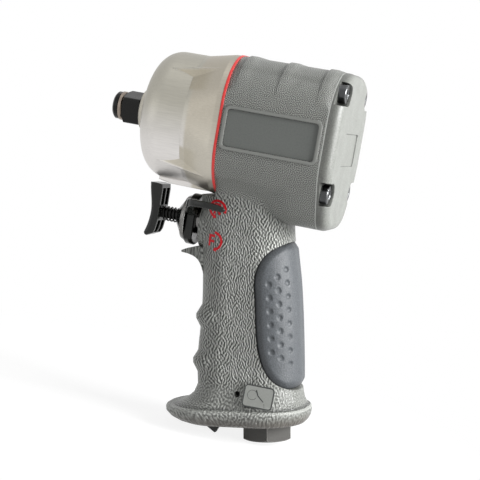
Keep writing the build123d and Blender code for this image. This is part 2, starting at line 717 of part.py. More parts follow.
# Bright reverse valve, a ported tube with a collar
with BuildPart() as reverse_valve:
    with BuildSketch(Plane(origin=(0, 0, ROD_Z), x_dir=(1, 0, 0), z_dir=(0, -1, 0))):
        with BuildLine():
            Polyline((30.2, ROD_R + 0.1), (30.2, 10.4), (31.4, 10.9), (LEVER_FRONT, 10.9), (LEVER_FRONT, VALVE_R),
                     (60.0, VALVE_R), (60.0, ROD_R + 0.1), close=True)
        make_face()
    revolve(axis=Axis((0, 0, ROD_Z), (1, 0, 0)))
    with BuildSketch(Plane.XY.offset(ROD_Z + 3.4)):
        with Locations((46.0, 0), (55.0, 0)):
            SlotOverall(5.0, 3.0)
    extrude(amount=6.0, mode=Mode.SUBTRACT)
finish(reverse_valve.part, "reverse_valve")

# Sleeve that the reverse valve turns in
with BuildPart() as valve_sleeve:
    with BuildSketch(Plane(origin=(BOSS_FRONT + 0.4, 0, ROD_Z), x_dir=(0, 1, 0), z_dir=(1, 0, 0))):
        Circle(8.4)
        Circle(VALVE_R + FIT, mode=Mode.SUBTRACT)
    extrude(amount=60.5 - BOSS_FRONT - 0.4)
    with BuildSketch(Plane.XY.offset(ROD_Z)):
        with Locations((48.0, 0), (56.0, 0)):
            SlotOverall(6.0, 3.4)
    extrude(amount=12.0, mode=Mode.SUBTRACT)
finish(valve_sleeve.part, "valve_sleeve")

# Arm of the reverse lever: place, heading from X towards the near side, thickness and height
ARM = [
    (34.5, -6.6, -41.4, 86.0, 4.2, 9.0),
    (34.9, -11.6, -41.0, 81.0, 4.2, 8.4),
    (36.1, -16.6, -39.9, 66.0, 4.0, 7.0),
    (38.6, -20.6, -38.8, 42.0, 3.8, 5.6),
    (42.2, -22.7, -38.3, 16.0, 3.4, 4.7),
    (47.0, -23.3, -38.1, 3.0, 3.0, 4.3),
    (51.4, -23.2, -38.2, 0.0, 2.6, 3.6),
    (55.0, -22.9, -38.3, 0.0, 0.9, 0.9),
]

# Reverse lever, a ring with two flats on the valve, and an arm that sweeps back along the handle
with BuildPart() as reverse_lever:
    with BuildSketch(Plane(origin=(LEVER_FRONT, 0, ROD_Z), x_dir=(0, 1, 0), z_dir=(1, 0, 0))):
        Circle(LEVER_R)
        Rectangle(2 * LEVER_FLAT, 3 * LEVER_R, mode=Mode.INTERSECT)
        Circle(VALVE_R, mode=Mode.SUBTRACT)
    extrude(amount=LEVER_REAR - LEVER_FRONT)
    for x, y, z, heading, thick, tall in ARM:
        ahead = (math.cos(math.radians(heading)), -math.sin(math.radians(heading)), 0)
        with BuildSketch(Plane(origin=(x, y, z), x_dir=(ahead[1], -ahead[0], 0), z_dir=ahead)):
            RectangleRounded(thick, tall, 0.35 * thick)
    loft(ruled=True)
    with BuildSketch(Plane(origin=(20.0, 0, ROD_Z), x_dir=(0, 1, 0), z_dir=(1, 0, 0))):
        Circle(VALVE_R)
    extrude(amount=30.0, mode=Mode.SUBTRACT)
finish(reverse_lever.part, "reverse_lever")

# Tip valve: a head under its seat and a stem up to the rod
with BuildPart() as throttle_valve:
    with BuildSketch(down(SEAT_S + 3.2, INLET_T)):
        Circle(6.2)
    extrude(amount=2.0)
    with BuildSketch(down(46.0, INLET_T)):
        Circle(1.6)
    extrude(amount=SEAT_S + 3.4 - 46.0)
    with BuildSketch(down(SEAT_S + 5.0, INLET_T)):
        Circle(2.2)
    extrude(amount=3.0)
finish(throttle_valve.part, "throttle_valve")

with BuildPart() as valve_seat:
    with BuildSketch(down(SEAT_S, INLET_T)):
        Circle(8.6)
        Circle(4.4, mode=Mode.SUBTRACT)
    extrude(amount=3.0)
finish(valve_seat.part, "valve_seat")

with BuildPart() as valve_spring:
    spring_top = down(SEAT_S + 5.7, INLET_T)
    with BuildLine() as valve_coil:
        Helix(pitch=2.6, height=15.6, radius=2.9, center=spring_top.origin, direction=spring_top.z_dir)
    with BuildSketch(Plane(origin=valve_coil.line @ 0, z_dir=valve_coil.line % 0)):
        RegularPolygon(0.42, 6)
    sweep()
finish(valve_spring.part, "valve_spring")

# Hex inlet bushing screwed into the foot of the handle
with BuildPart() as inlet_bushing:
    with BuildSketch(down(117.0, INLET_T)):
        Circle(9.55)
    extrude(amount=BASE_LOW - 117.0 + 1.0)
    with BuildSketch(down(BASE_LOW + 0.3, INLET_T)):
        RegularPolygon(INLET_AF / 2, 6, major_radius=False, rotation=16.0)
    extrude(amount=INLET_LOW - BASE_LOW - 0.3)
    with BuildSketch(Plane(origin=on_side(0, INLET_T)[:1] + (0,) + on_side(0, INLET_T)[1:], x_dir=(SIN_R, 0, -COS_R),
                           z_dir=(0, -1, 0))):
        with BuildLine():
            Polyline((BASE_LOW - 0.5, 11.0), (BASE_LOW + 0.3, 11.0), (BASE_LOW + 1.6, 13.6), (INLET_LOW - 1.4, 13.6),
                     (INLET_LOW, 11.0), (INLET_LOW + 1, 11.0), (INLET_LOW + 1, 16), (BASE_LOW - 0.5, 16), close=True)
        make_face()
    revolve(axis=Axis(down(0, INLET_T).origin, down(0, INLET_T).z_dir), mode=Mode.SUBTRACT)
    with BuildSketch(down(INLET_LOW - 15.0, INLET_T)):
        Circle(INLET_BORE)
    extrude(amount=16.0, mode=Mode.SUBTRACT)
    with BuildSketch(down(116.0, INLET_T)):
        Circle(4.6)
    extrude(amount=16.0, mode=Mode.SUBTRACT)
finish(inlet_bushing.part, "inlet_bushing")

# Strainer cup above the inlet bushing
with BuildPart() as inlet_screen:
    with BuildSketch(down(96.0, INLET_T)):
        Circle(5.4)
        with GridLocations(2.6, 2.6, 3, 3):
            Circle(0.8, mode=Mode.SUBTRACT)
    extrude(amount=1.0)
    with BuildSketch(down(97.0, INLET_T)):
        Circle(5.4)
        Circle(4.6, mode=Mode.SUBTRACT)
    extrude(amount=18.5)
    with BuildSketch(down(115.5, INLET_T)):
        Circle(7.4)
        Circle(4.6, mode=Mode.SUBTRACT)
    extrude(amount=1.5)
finish(inlet_screen.part, "inlet_screen")

# Exhaust deflector under the foot
with BuildPart() as exhaust_deflector:
    with BuildSketch(down(134.4, -13.6)):
        RectangleRounded(14.8, 25.8, 4.9)
        with Locations((0, -6.6), (0, 0), (0, 6.6)):
            SlotOverall(9.6, 4.4, mode=Mode.SUBTRACT)
    extrude(amount=BASE_LOW + 0.5 - 134.4)
    for y in (-11.6, 11.6):
        with BuildSketch(Plane.XZ.offset(-y - 0.9)):
            with BuildLine():
                Polyline(on_side(BASE_LOW, -20.6), on_side(BASE_LOW + 4.6, -14.6), on_side(BASE_LOW + 4.2, -13.8),
                         on_side(BASE_LOW, -11.2), close=True)
            make_face()
        extrude(amount=1.8)
finish(exhaust_deflector.part, "exhaust_deflector")
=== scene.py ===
"""Looks of a compact air impact wrench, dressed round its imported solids.

The frame is that of the solids: X along the spindle from the square drive to the
rear cover, Z up, Y across, in metres. Sizes in this file are in millimetres and
become metres where a mesh or a shader takes them.
"""
import logging
import math
from abc import ABC, abstractmethod
from dataclasses import dataclass, field
from enum import Enum

import bmesh
import bpy
import numpy as np
from mathutils import Matrix, Vector


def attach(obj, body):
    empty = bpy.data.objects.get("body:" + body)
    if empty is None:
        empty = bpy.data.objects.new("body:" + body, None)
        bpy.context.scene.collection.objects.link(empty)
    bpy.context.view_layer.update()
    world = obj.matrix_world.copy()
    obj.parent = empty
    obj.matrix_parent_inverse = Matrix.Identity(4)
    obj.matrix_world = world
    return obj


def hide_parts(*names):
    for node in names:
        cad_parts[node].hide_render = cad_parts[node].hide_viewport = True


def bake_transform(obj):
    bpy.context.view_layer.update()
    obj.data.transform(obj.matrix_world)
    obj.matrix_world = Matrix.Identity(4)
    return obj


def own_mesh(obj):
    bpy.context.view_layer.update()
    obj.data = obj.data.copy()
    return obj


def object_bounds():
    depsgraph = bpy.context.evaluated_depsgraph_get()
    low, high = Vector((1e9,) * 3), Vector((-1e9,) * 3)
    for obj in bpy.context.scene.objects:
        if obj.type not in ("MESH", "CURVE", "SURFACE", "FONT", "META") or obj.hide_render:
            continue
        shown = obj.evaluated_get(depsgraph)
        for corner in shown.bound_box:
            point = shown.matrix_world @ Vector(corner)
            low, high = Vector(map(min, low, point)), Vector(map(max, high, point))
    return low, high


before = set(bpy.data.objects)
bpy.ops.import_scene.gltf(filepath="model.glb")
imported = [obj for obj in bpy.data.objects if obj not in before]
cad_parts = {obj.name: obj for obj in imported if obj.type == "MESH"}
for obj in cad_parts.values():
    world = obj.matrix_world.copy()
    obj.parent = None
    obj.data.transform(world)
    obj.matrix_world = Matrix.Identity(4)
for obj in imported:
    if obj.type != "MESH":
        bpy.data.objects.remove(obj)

Piece = bpy.types.Object
Tree = bpy.types.NodeTree
Node = bpy.types.Node
Socket = bpy.types.NodeSocket
Axes = bpy.types.NodeOutputs
Source = Node | Socket

CAD_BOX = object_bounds()
MM = 0.001
LOG = logging.getLogger("wrench")
FULL_TURN = 2 * math.pi

# The handle's axis leaves the spindle's at HANDLE_X and leans back by RAKE; the trigger's rod lies at ROD_Z.
RAKE = math.radians(10.75)
HANDLE_X = 53.0
ROD_Z = -46.9

# Sockets of the Mix node, where several have one name: the share, two numbers and two colours.
SHARE, NUMBER_A, NUMBER_B, COLOUR_A, COLOUR_B = 0, 2, 3, 6, 7
# Rays that feel for a nearby edge, and rays that feel how open a place is.
EDGE_RAYS, SKY_RAYS = 6, 8
# Ridges in one cell of a Gabor noise.
RIDGES = 2.0
# Points of a mesh that are closer than this are one point.
WELD_MM = 0.001
WHITE = (1.0, 1.0, 1.0, 1.0)


def linear(hex_colour: str) -> tuple[float, float, float, float]:
    """Turn an sRGB hex colour into linear red, green, blue and alpha.

    Args:
        hex_colour: colour such as "#7A7C79".

    Returns:
        Four linear values, with alpha 1.
    """
    srgb = np.array([int(hex_colour[i:i + 2], 16) for i in (1, 3, 5)]) / 255.0
    rgb = np.where(srgb <= 0.04045, srgb / 12.92, ((srgb + 0.055) / 1.055) ** 2.4)
    return (float(rgb[0]), float(rgb[1]), float(rgb[2]), 1.0)


def add(tree: Tree, kind: str, inputs: dict | None = None, **settings: object) -> Node:
    """Add a node with its settings, and fill or link its inputs.

    Args:
        tree: node tree that takes the node.
        kind: node type without "ShaderNode" before it, such as "Bump".
        inputs: input name or number to a value, to an output socket, or to a node, which
            stands for the first of its outputs in use.
        settings: attributes of the node itself.

    Returns:
        The new node.
    """
    node = tree.nodes.new("ShaderNode" + kind)
    for key, value in settings.items():
        setattr(node, key, value)
    for key, value in (inputs or {}).items():
        if isinstance(value, Node):
            value = next(output for output in value.outputs if output.enabled)
        if isinstance(value, Socket):
            tree.links.new(value, node.inputs[key])
        else:
            node.inputs[key].default_value = value
    return node


def zone(tree: Tree, *limits: tuple[Source, float, float]) -> Node:
    """Share of a zone of the surface: the product of smooth steps, one for each limit.

    Args:
        tree: node tree of the material.
        limits: for each, the value that counts, where its step starts and where it is complete.

    Returns:
        Node that gives 0 outside the zone and 1 inside.
    """
    share = None
    for value, start, end in limits:
        step = add(tree, "MapRange", {"Value": value, "From Min": start, "From Max": end},
                   interpolation_type="SMOOTHSTEP")
        share = step if share is None else add(tree, "Math", {0: share, 1: step}, operation="MULTIPLY")
    return share


def cubics(at: np.ndarray, values: np.ndarray, places: np.ndarray) -> np.ndarray:
    """Values at places between knots, by cubics with the slopes that the neighbours give.

    With u from 0 to 1 between two knots of values v and slopes d:
    v0 (1 + 2u)(1 - u)^2 + v1 u^2 (3 - 2u) + gap (d0 u (1 - u)^2 + d1 u^2 (u - 1)).

    Args:
        at: places of the knots, rising.
        values: array of knots and columns.
        places: array of any shape.

    Returns:
        Array of the shape of places, with the columns as one more axis.
    """
    slopes = np.gradient(values, at, axis=0)
    i = np.clip(np.searchsorted(at, places) - 1, 0, len(at) - 2)
    gap = (at[i + 1] - at[i])[..., None]
    u = (places - at[i])[..., None] / gap
    return (values[i] * (1 + 2 * u) * (1 - u) ** 2 + values[i + 1] * u * u * (3 - 2 * u)
            + gap * (slopes[i] * u * (1 - u) ** 2 + slopes[i + 1] * u * u * (u - 1)))


def run_along(corners: np.ndarray) -> np.ndarray:
    """Length along a broken line at each of its corners."""
    steps = np.linalg.norm(np.diff(corners, axis=0), axis=1)
    return np.concatenate([[0.0], np.cumsum(steps)])


def turns(count: int, start: float = 0.0) -> np.ndarray:
    """Angles of count points evenly round a circle, from start."""
    return np.linspace(0.0, FULL_TURN, count, endpoint=False) + start


def held_ends(values: np.ndarray) -> np.ndarray:
    """The same values with the first and the last one twice, for ends that are drawn in to a point."""
    return np.concatenate([values[:1], values, values[-1:]])


def cells(rows: int, cols: int, close_u: bool = False, close_v: bool = False) -> np.ndarray:
    """Corner numbers of the cells of a grid of points.

    Cell (i, j) joins points (i, j), (i, j+1), (i+1, j+1) and (i+1, j); a closed
    direction joins its last line to its first.

    Args:
        rows: number of rows.
        cols: number of columns.
        close_u: join the last column to the first.
        close_v: join the last row to the first.

    Returns:
        Array of cells and 4.
    """
    i = np.arange(rows if close_v else rows - 1)[:, None]
    j = np.arange(cols if close_u else cols - 1)[None, :]
    down_one, right_one = (i + 1) % rows, (j + 1) % cols
    corners = (i * cols + j, i * cols + right_one, down_one * cols + right_one, down_one * cols + j)
    return np.stack(corners, axis=-1).reshape(-1, 4)


def grid_object(name: str, points: np.ndarray, close_u: bool = False, close_v: bool = False) -> Piece:
    """Make a smooth mesh object from a grid of points.

    Args:
        name: name of the piece.
        points: array of rows, columns and 3, in millimetres.
        close_u: join the last column to the first.
        close_v: join the last row to the first.

    Returns:
        The object, linked to the scene, at the origin.
    """
    return mesh_object(name, points.reshape(-1, 3), cells(*points.shape[:2], close_u, close_v))


def join_grids(name: str, grids: list[np.ndarray]) -> Piece:
    """Make one mesh object from several open grids of points.

    Args:
        name: name of the piece.
        grids: arrays of rows, columns and 3, in millimetres.

    Returns:
        The object, linked to the scene, at the origin.
    """
    points = [grid.reshape(-1, 3) for grid in grids]
    starts = np.cumsum([0] + [len(part) for part in points])
    faces = [start + cells(*grid.shape[:2]) for start, grid in zip(starts, grids)]
    return mesh_object(name, np.concatenate(points), np.concatenate(faces))


def mesh_object(name: str, points: np.ndarray, faces: np.ndarray) -> Piece:
    """Put points and faces of one size into a new smooth mesh object.

    Args:
        name: name of the piece.
        points: array of points and 3, in millimetres.
        faces: array of faces and their corner numbers.

    Returns:
        The object, linked to the scene, at the origin.
    """
    mesh = bpy.data.meshes.new(name)
    count, size = faces.shape
    mesh.vertices.add(len(points))
    mesh.vertices.foreach_set("co", (points * MM).astype(np.float32).ravel())
    mesh.loops.add(count * size)
    mesh.loops.foreach_set("vertex_index", faces.astype(np.int32).ravel())
    mesh.polygons.add(count)
    mesh.polygons.foreach_set("loop_start", np.arange(0, count * size, size, dtype=np.int32))
    mesh.polygons.foreach_set("use_smooth", np.ones(count, dtype=bool))
    mesh.update(calc_edges=True)
    mesh.validate()
    piece = bpy.data.objects.new(name, mesh)
    bpy.context.scene.collection.objects.link(piece)
    return piece


def weld(piece: Piece) -> None:
    """Merge the points of a mesh that fall together, so that an end drawn in to a point is closed.

    Args:
        piece: piece whose mesh is changed.
    """
    form = bmesh.new()
    form.from_mesh(piece.data)
    bmesh.ops.remove_doubles(form, verts=form.verts, dist=WELD_MM * MM)
    form.to_mesh(piece.data)
    form.free()


def wrap_on(piece: Piece, node: str, lift: float) -> None:
    """Pull a thin piece onto a solid's surface and keep the result as its mesh.

    Args:
        piece: piece that lies close to the surface.
        node: solid that carries it.
        lift: height over the surface, in millimetres.
    """
    wrap = piece.modifiers.new("wrap", "SHRINKWRAP")
    wrap.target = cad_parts[node]
    wrap.wrap_method = "NEAREST_SURFACEPOINT"
    wrap.wrap_mode = "ABOVE_SURFACE"
    wrap.offset = lift * MM
    graph = bpy.context.evaluated_depsgraph_get()
    wrapped = bpy.data.meshes.new_from_object(piece.evaluated_get(graph))
    piece.modifiers.clear()
    piece.data = wrapped


@dataclass(frozen=True)
class Finish(ABC):
    """A surface as it is made: its gloss, the rounding of its edges and its wear.

    The edges of the solids are sharp, so the shading normal is rounded over edge_mm,
    as a mould or a deburring tool leaves them. Along those edges the tone goes
    towards the paler wear_highlight_tone by the share wear_highlight: partly wear that
    handling leaves, partly a painted highlight. wear_highlight_cosines are the cosines
    between the true and the rounded normal where that starts and is full. In recesses
    less than recess_shade_mm wide the tone is darkened towards recess_shade_tone by the
    share recess_shade, a painted shade: open_shares are the shares of open space where
    that starts and is full.
    """

    name: str
    roughness: float
    metallic: float = 0.0
    specular: float = 0.5
    edge_mm: float = 0.35
    wear_highlight: float = 0.0
    wear_highlight_tone: str = "#FFFFFF"
    wear_highlight_cosines: tuple[float, float] = (0.995, 0.90)
    recess_shade: float = 0.0
    recess_shade_mm: float = 3.0
    recess_shade_tone: str = "#1D1E1D"
    open_shares: tuple[float, float] = (0.75, 0.25)

    def material(self) -> bpy.types.Material:
        """Make the material the first time that it is asked for.

        Returns:
            The material of this finish.
        """
        known = bpy.data.materials.get(self.name)
        if known:
            return known
        material = bpy.data.materials.new(self.name)
        material.use_nodes = True
        tree = material.node_tree
        tree.nodes.clear()
        metres = add(tree, "TexCoord").outputs["Object"]
        place = add(tree, "VectorMath", {0: metres, "Scale": 1.0 / MM}, operation="SCALE")
        edge = add(tree, "Bevel", {"Radius": self.edge_radius(tree, place)}, samples=EDGE_RAYS)
        inputs = {"Metallic": self.metallic, "Roughness": self.roughness, "Specular IOR Level": self.specular}
        inputs |= self.surface(tree, place, edge)
        inputs["Base Color"] = self.wear_and_painted_light(tree, inputs["Base Color"], edge)
        add(tree, "OutputMaterial", {"Surface": add(tree, "BsdfPrincipled", inputs)})
        return material

    def edge_radius(self, tree: Tree, place: Source) -> Source | float:
        """Radius in metres that edges are rounded over, here the same all over."""
        return self.edge_mm * MM

    @abstractmethod
    def surface(self, tree: Tree, place: Source, edge: Source) -> dict[str, Source]:
        """Make the tone, gloss and relief that the making leaves on the surface.

        Args:
            tree: node tree of the material.
            place: Object coordinates, in millimetres.
            edge: normal with rounded edges.

        Returns:
            What goes into the shader's inputs, "Base Color" among them.
        """

    def wear_and_painted_light(self, tree: Tree, tone: Source, edge: Source) -> Source:
        """Lighten a tone along the edges, where rounded and true normal part, as wear with a painted
        highlight, and darken it in recesses as a painted shade.

        Args:
            tree: node tree of the material.
            tone: colour before wear and painted light.
            edge: normal with rounded edges.

        Returns:
            The colour with its wear, painted highlight and painted shade, or the same one where none is laid
            on.
        """
        # Paler edges: partly wear, partly a painted highlight.
        if self.wear_highlight:
            true = add(tree, "NewGeometry").outputs["Normal"]
            cosine = add(tree, "VectorMath", {0: edge, 1: true}, operation="DOT_PRODUCT")
            start, full = self.wear_highlight_cosines
            bare = add(tree, "MapRange", {
                "Value": cosine, "From Min": start, "From Max": full, "To Max": self.wear_highlight})
            tone = add(tree, "Mix", {
                SHARE: bare, COLOUR_A: tone, COLOUR_B: linear(self.wear_highlight_tone)}, data_type="RGBA")
        # Darker recesses, found by ambient occlusion: a painted shade.
        if self.recess_shade:
            sky = add(tree, "AmbientOcclusion", {"Distance": self.recess_shade_mm * MM}, samples=SKY_RAYS)
            start, full = self.open_shares
            recess_shade_share = add(tree, "MapRange", {
                "Value": sky.outputs["AO"], "From Min": start, "From Max": full, "To Max": self.recess_shade})
            tone = add(tree, "Mix", {
                SHARE: recess_shade_share, COLOUR_A: tone, COLOUR_B: linear(self.recess_shade_tone)}, data_type="RGBA")
        return tone


@dataclass(frozen=True)
class BrushedCasting(Finish):
    """Aluminium casting brushed along the spindle: fine lines, blurred highlights and a duller cast skin.

    The brush marks are about 0.1 mm apart; they are drawn at line_mm so that they show.
    The brushed round is painted paler from its upper flank to its lower one, over
    painted_light_z: painted light from below. Behind ridge_x, and on the four corner
    facets, the casting keeps more of its own skin, which is warmer, and painted the same
    way; the facets are also darkened by facet_painted_shade, a painted shade.
    """

    line_mm: float = 0.3
    line_squeeze: float = 0.035
    line_depth_mm: float = 0.012
    line_relief: float = 0.6
    line_range: tuple[float, float] = (0.3, 0.7)
    line_tones: tuple[float, float] = (0.92, 1.08)
    gloss_swing: tuple[float, float] = (-0.07, 0.09)
    round_shaded_top: str = "#A6A399"
    round_lit_bottom: str = "#D6D3D0"
    skin_shaded_top: str = "#A8A296"
    skin_lit_bottom: str = "#BAB5AA"
    facet_painted_shade: str = "#EFEDE6"
    painted_light_z: tuple[float, float] = (8.0, -17.0)
    ridge_x: tuple[float, float] = (30.5, 32.5)
    round_r: tuple[float, float] = (30.22, 30.4)
    flat_slope: tuple[float, float] = (0.42, 0.52)
    ridge_slope: tuple[float, float] = (1.0, 0.94)
    flare_x: tuple[float, float] = (41.0, 34.0)
    facet_most: float = 0.8

    def surface(self, tree: Tree, place: Source, edge: Source) -> dict[str, Source]:
        """Lay lines along X over the tones of the round and of the skin.

        Args:
            tree: node tree of the material.
            place: Object coordinates, in millimetres.
            edge: normal with rounded edges.

        Returns:
            What goes into the shader's inputs.
        """
        axes = add(tree, "SeparateXYZ", {"Vector": place}).outputs
        brush = add(tree, "Mapping", {"Vector": place, "Scale": (self.line_squeeze, 1.0, 1.0)})
        lines = add(tree, "TexNoise", {
            "Vector": brush, "Scale": 1.0 / self.line_mm, "Detail": 3.0, "Roughness": 0.6})
        # The round and the skin are painted paler towards the bottom: painted light.
        lit_bottom_share = zone(tree, (axes["Z"], *self.painted_light_z))
        round_painted_tone, skin = (
            add(tree, "Mix", {SHARE: lit_bottom_share, COLOUR_A: linear(high), COLOUR_B: linear(low)}, data_type="RGBA")
            for high, low in ((self.round_shaded_top, self.round_lit_bottom), (self.skin_shaded_top, self.skin_lit_bottom)))
        facet = self.facet_share(tree, place, axes)
        cast = add(tree, "Math", {0: zone(tree, (axes["X"], *self.ridge_x)), 1: facet}, operation="MAXIMUM")
        bare = add(tree, "Mix", {SHARE: cast, COLOUR_A: round_painted_tone, COLOUR_B: skin}, data_type="RGBA")
        # The corner facets are darkened: a painted shade.
        tone = add(tree, "Mix", {
            SHARE: facet, COLOUR_A: bare, COLOUR_B: linear(self.facet_painted_shade)},
            data_type="RGBA", blend_type="MULTIPLY")
        streak = add(tree, "MapRange", {
            "Value": lines, "From Min": self.line_range[0], "From Max": self.line_range[1],
            "To Min": self.line_tones[0], "To Max": self.line_tones[1]})
        brushed = add(tree, "Mix", {
            SHARE: 1.0, COLOUR_A: tone, COLOUR_B: streak}, data_type="RGBA", blend_type="MULTIPLY")
        gloss = add(tree, "MapRange", {
            "Value": lines, "To Min": self.roughness + self.gloss_swing[0],
            "To Max": self.roughness + self.gloss_swing[1]})
        relief = add(tree, "Bump", {
            "Height": lines, "Strength": self.line_relief, "Distance": self.line_depth_mm * MM,
            "Normal": edge})
        return {"Base Color": brushed, "Roughness": gloss, "Normal": relief}

    def facet_share(self, tree: Tree, place: Source, axes: Axes) -> Node:
        """Share of the corner facets that look sideways.

        They stand out of the round, past round_r from the spindle axis. With slope the
        height over the width, they lie between the flat and the corner's ridge. They
        fade where the case flares.

        Args:
            tree: node tree of the material.
            place: Object coordinates, in millimetres.
            axes: X, Y and Z of the place.

        Returns:
            Node that gives 0 to facet_most.
        """
        off_axis = add(tree, "VectorMath", {0: place, 1: (0.0, 1.0, 1.0)}, operation="MULTIPLY")
        distance = add(tree, "VectorMath", {0: off_axis}, operation="LENGTH")
        size = add(tree, "VectorMath", {0: off_axis}, operation="ABSOLUTE")
        sizes = add(tree, "SeparateXYZ", {"Vector": size}).outputs
        slope = add(tree, "Math", {0: sizes["Z"], 1: sizes["Y"]}, operation="DIVIDE")
        facet = zone(tree, (slope, *self.flat_slope), (slope, *self.ridge_slope), (axes["X"], *self.flare_x),
                     (distance, *self.round_r))
        return add(tree, "Math", {0: facet, 1: self.facet_most}, operation="MULTIPLY")


@dataclass(frozen=True)
class GrainedComposite(Finish):
    """Glass-filled nylon from a textured mould: pebbles on the barrel, a wrinkled hide on the handle.

    The pebbles of the real mould are about 0.5 mm; they are drawn at pebble_mm so that
    they show in the render. The wrinkles start at the handle's root; their dark grooves
    and pale crests are partly the skin's own tone, partly a painted shade and a painted
    highlight. They are calmer on the foot, and most of all at the foot's rear. The raised
    frames of the two plates are smooth, and painted paler as a painted highlight.
    """

    pebble_mm: float = 0.75
    pebble_depth_mm: float = 0.10
    pebble_relief: float = 0.9
    pebble_range: tuple[float, float] = (0.34, 0.66)
    pebble_dark: str = "#3E403D"
    pebble_light: str = "#9A9C97"
    barrel_r: float = 33.0
    wrinkle_mm: float = 1.24
    wrinkle_long: float = 1.3
    wrinkle_order: float = 0.4
    wrinkle_depth_mm: float = 0.6
    wrinkle_range: tuple[float, float] = (0.35, 0.65)
    groove: str = "#3A3C38"
    crest: str = "#B6B8B3"
    mean_r: float = 20.0
    wall_r: float = 24.5
    foot_s: tuple[float, float] = (116.0, 122.0)
    foot_calm: float = 0.45
    foot_height: float = 0.45
    rear_s: tuple[float, float] = (106.0, 114.0)
    rear_t: tuple[float, float] = (4.0, 22.0)
    rear_calm: float = 0.55
    rear_height: float = 0.2
    lip_s: float = 130.2
    corner: str = "#2A2C2A"
    foot_bottom_shade: str = "#4A443D"
    root_z: tuple[float, float] = (-28.5, -31.0)
    root_wave_mm: float = 4.0
    root_wave_height: float = 3.0
    keel_x: float = 58.0
    keel_fall: float = 0.02
    beak_x: tuple[float, float] = (41.0, 44.5)
    beak_z: tuple[float, float] = (-72.0, -76.0)
    frame_y: tuple[float, float] = (32.55, 32.75)
    frame_highlight_tone: str = "#80827E"
    frame_height: float = 0.5
    frame_mm: float = 0.85
    fillet_mm: float = 4.5
    fillet_z: tuple[float, float, float, float] = (-50.0, -42.0, -25.0, -20.0)
    shoulder_mm: float = 6.0
    shoulder_z: tuple[float, float, float, float] = (14.0, 18.0, 29.0, 31.0)

    def surface(self, tree: Tree, place: Source, edge: Source) -> dict[str, Source]:
        """Blend the pebbles, the wrinkles and the smooth frames by place.

        Args:
            tree: node tree of the material.
            place: Object coordinates, in millimetres.
            edge: normal with rounded edges.

        Returns:
            What goes into the shader's inputs.
        """
        axes = add(tree, "SeparateXYZ", {"Vector": place}).outputs
        on_handle = self.handle_share(tree, axes, place)
        on_frame = self.frame_share(tree, axes)
        pebbles = self.pebbles(tree, axes)
        wrinkles = self.wrinkles(tree, place)
        # Dark grooves and pale crests: the skin's own tone with a painted shade and a painted highlight.
        hide = add(tree, "Mix", {
            SHARE: wrinkles, COLOUR_A: linear(self.groove), COLOUR_B: linear(self.crest)}, data_type="RGBA")
        grain = add(tree, "Mix", {
            SHARE: pebbles, COLOUR_A: linear(self.pebble_dark), COLOUR_B: linear(self.pebble_light)},
            data_type="RGBA")
        # Painted shade and a painted highlight on the foot's lip.
        lip_painted_light = self.lip_painted_light(tree, place, hide)
        tone = add(tree, "Mix", {SHARE: on_handle, COLOUR_A: grain, COLOUR_B: lip_painted_light}, data_type="RGBA")
        # The raised frames are painted paler: a painted highlight.
        framed = add(tree, "Mix", {
            SHARE: on_frame, COLOUR_A: tone, COLOUR_B: linear(self.frame_highlight_tone)}, data_type="RGBA")
        fine_height = add(tree, "Mix", {SHARE: on_frame, NUMBER_A: pebbles, NUMBER_B: self.frame_height})
        fine = add(tree, "Bump", {
            "Height": fine_height, "Strength": self.pebble_relief, "Distance": self.pebble_depth_mm * MM,
            "Normal": edge})
        deep_height = add(tree, "Math", {0: wrinkles, 1: on_handle}, operation="MULTIPLY")
        deep = add(tree, "Bump", {
            "Height": deep_height, "Strength": 1.0, "Distance": self.wrinkle_depth_mm * MM, "Normal": fine})
        return {"Base Color": framed, "Normal": deep}

    def edge_radius(self, tree: Tree, place: Source) -> Source:
        """Radius that edges are rounded over, by place.

        The crease between handle and barrel is rounded over fillet_mm, the plates' frames
        over half their width, the steps on the barrel's shoulders over shoulder_mm, and
        the rest over edge_mm.

        Args:
            tree: node tree of the material.
            place: Object coordinates, in millimetres.

        Returns:
            Node that gives the radius in metres.
        """
        axes = add(tree, "SeparateXYZ", {"Vector": place}).outputs
        low, low_full, high_full, high = self.fillet_z
        crease = zone(tree, (axes["Z"], low, low_full), (axes["Z"], high, high_full))
        low, low_full, high_full, high = self.shoulder_z
        shoulder = zone(tree, (axes["Z"], low, low_full), (axes["Z"], high, high_full))
        radius = self.edge_mm * MM
        for share, size in ((crease, self.fillet_mm), (self.frame_share(tree, axes), self.frame_mm),
                            (shoulder, self.shoulder_mm)):
            radius = add(tree, "Mix", {SHARE: share, NUMBER_A: radius, NUMBER_B: size * MM})
        return radius

    def pebbles(self, tree: Tree, axes: Axes) -> Node:
        """Height of the pebbles, laid along X and round the barrel.

        Args:
            tree: node tree of the material.
            axes: X, Y and Z of the place.

        Returns:
            Node that gives 0 between the pebbles and 1 on them.
        """
        turn = add(tree, "Math", {0: axes["Z"], 1: axes["Y"]}, operation="ARCTAN2")
        girth = add(tree, "Math", {0: turn, 1: self.barrel_r}, operation="MULTIPLY")
        skin = add(tree, "CombineXYZ", {"X": axes["X"], "Y": girth})
        grains = add(tree, "TexGabor", {
            "Vector": skin, "Scale": 1.0 / (RIDGES * self.pebble_mm), "Frequency": RIDGES, "Anisotropy": 0.0},
            gabor_type="2D")
        return zone(tree, (grains, *self.pebble_range))

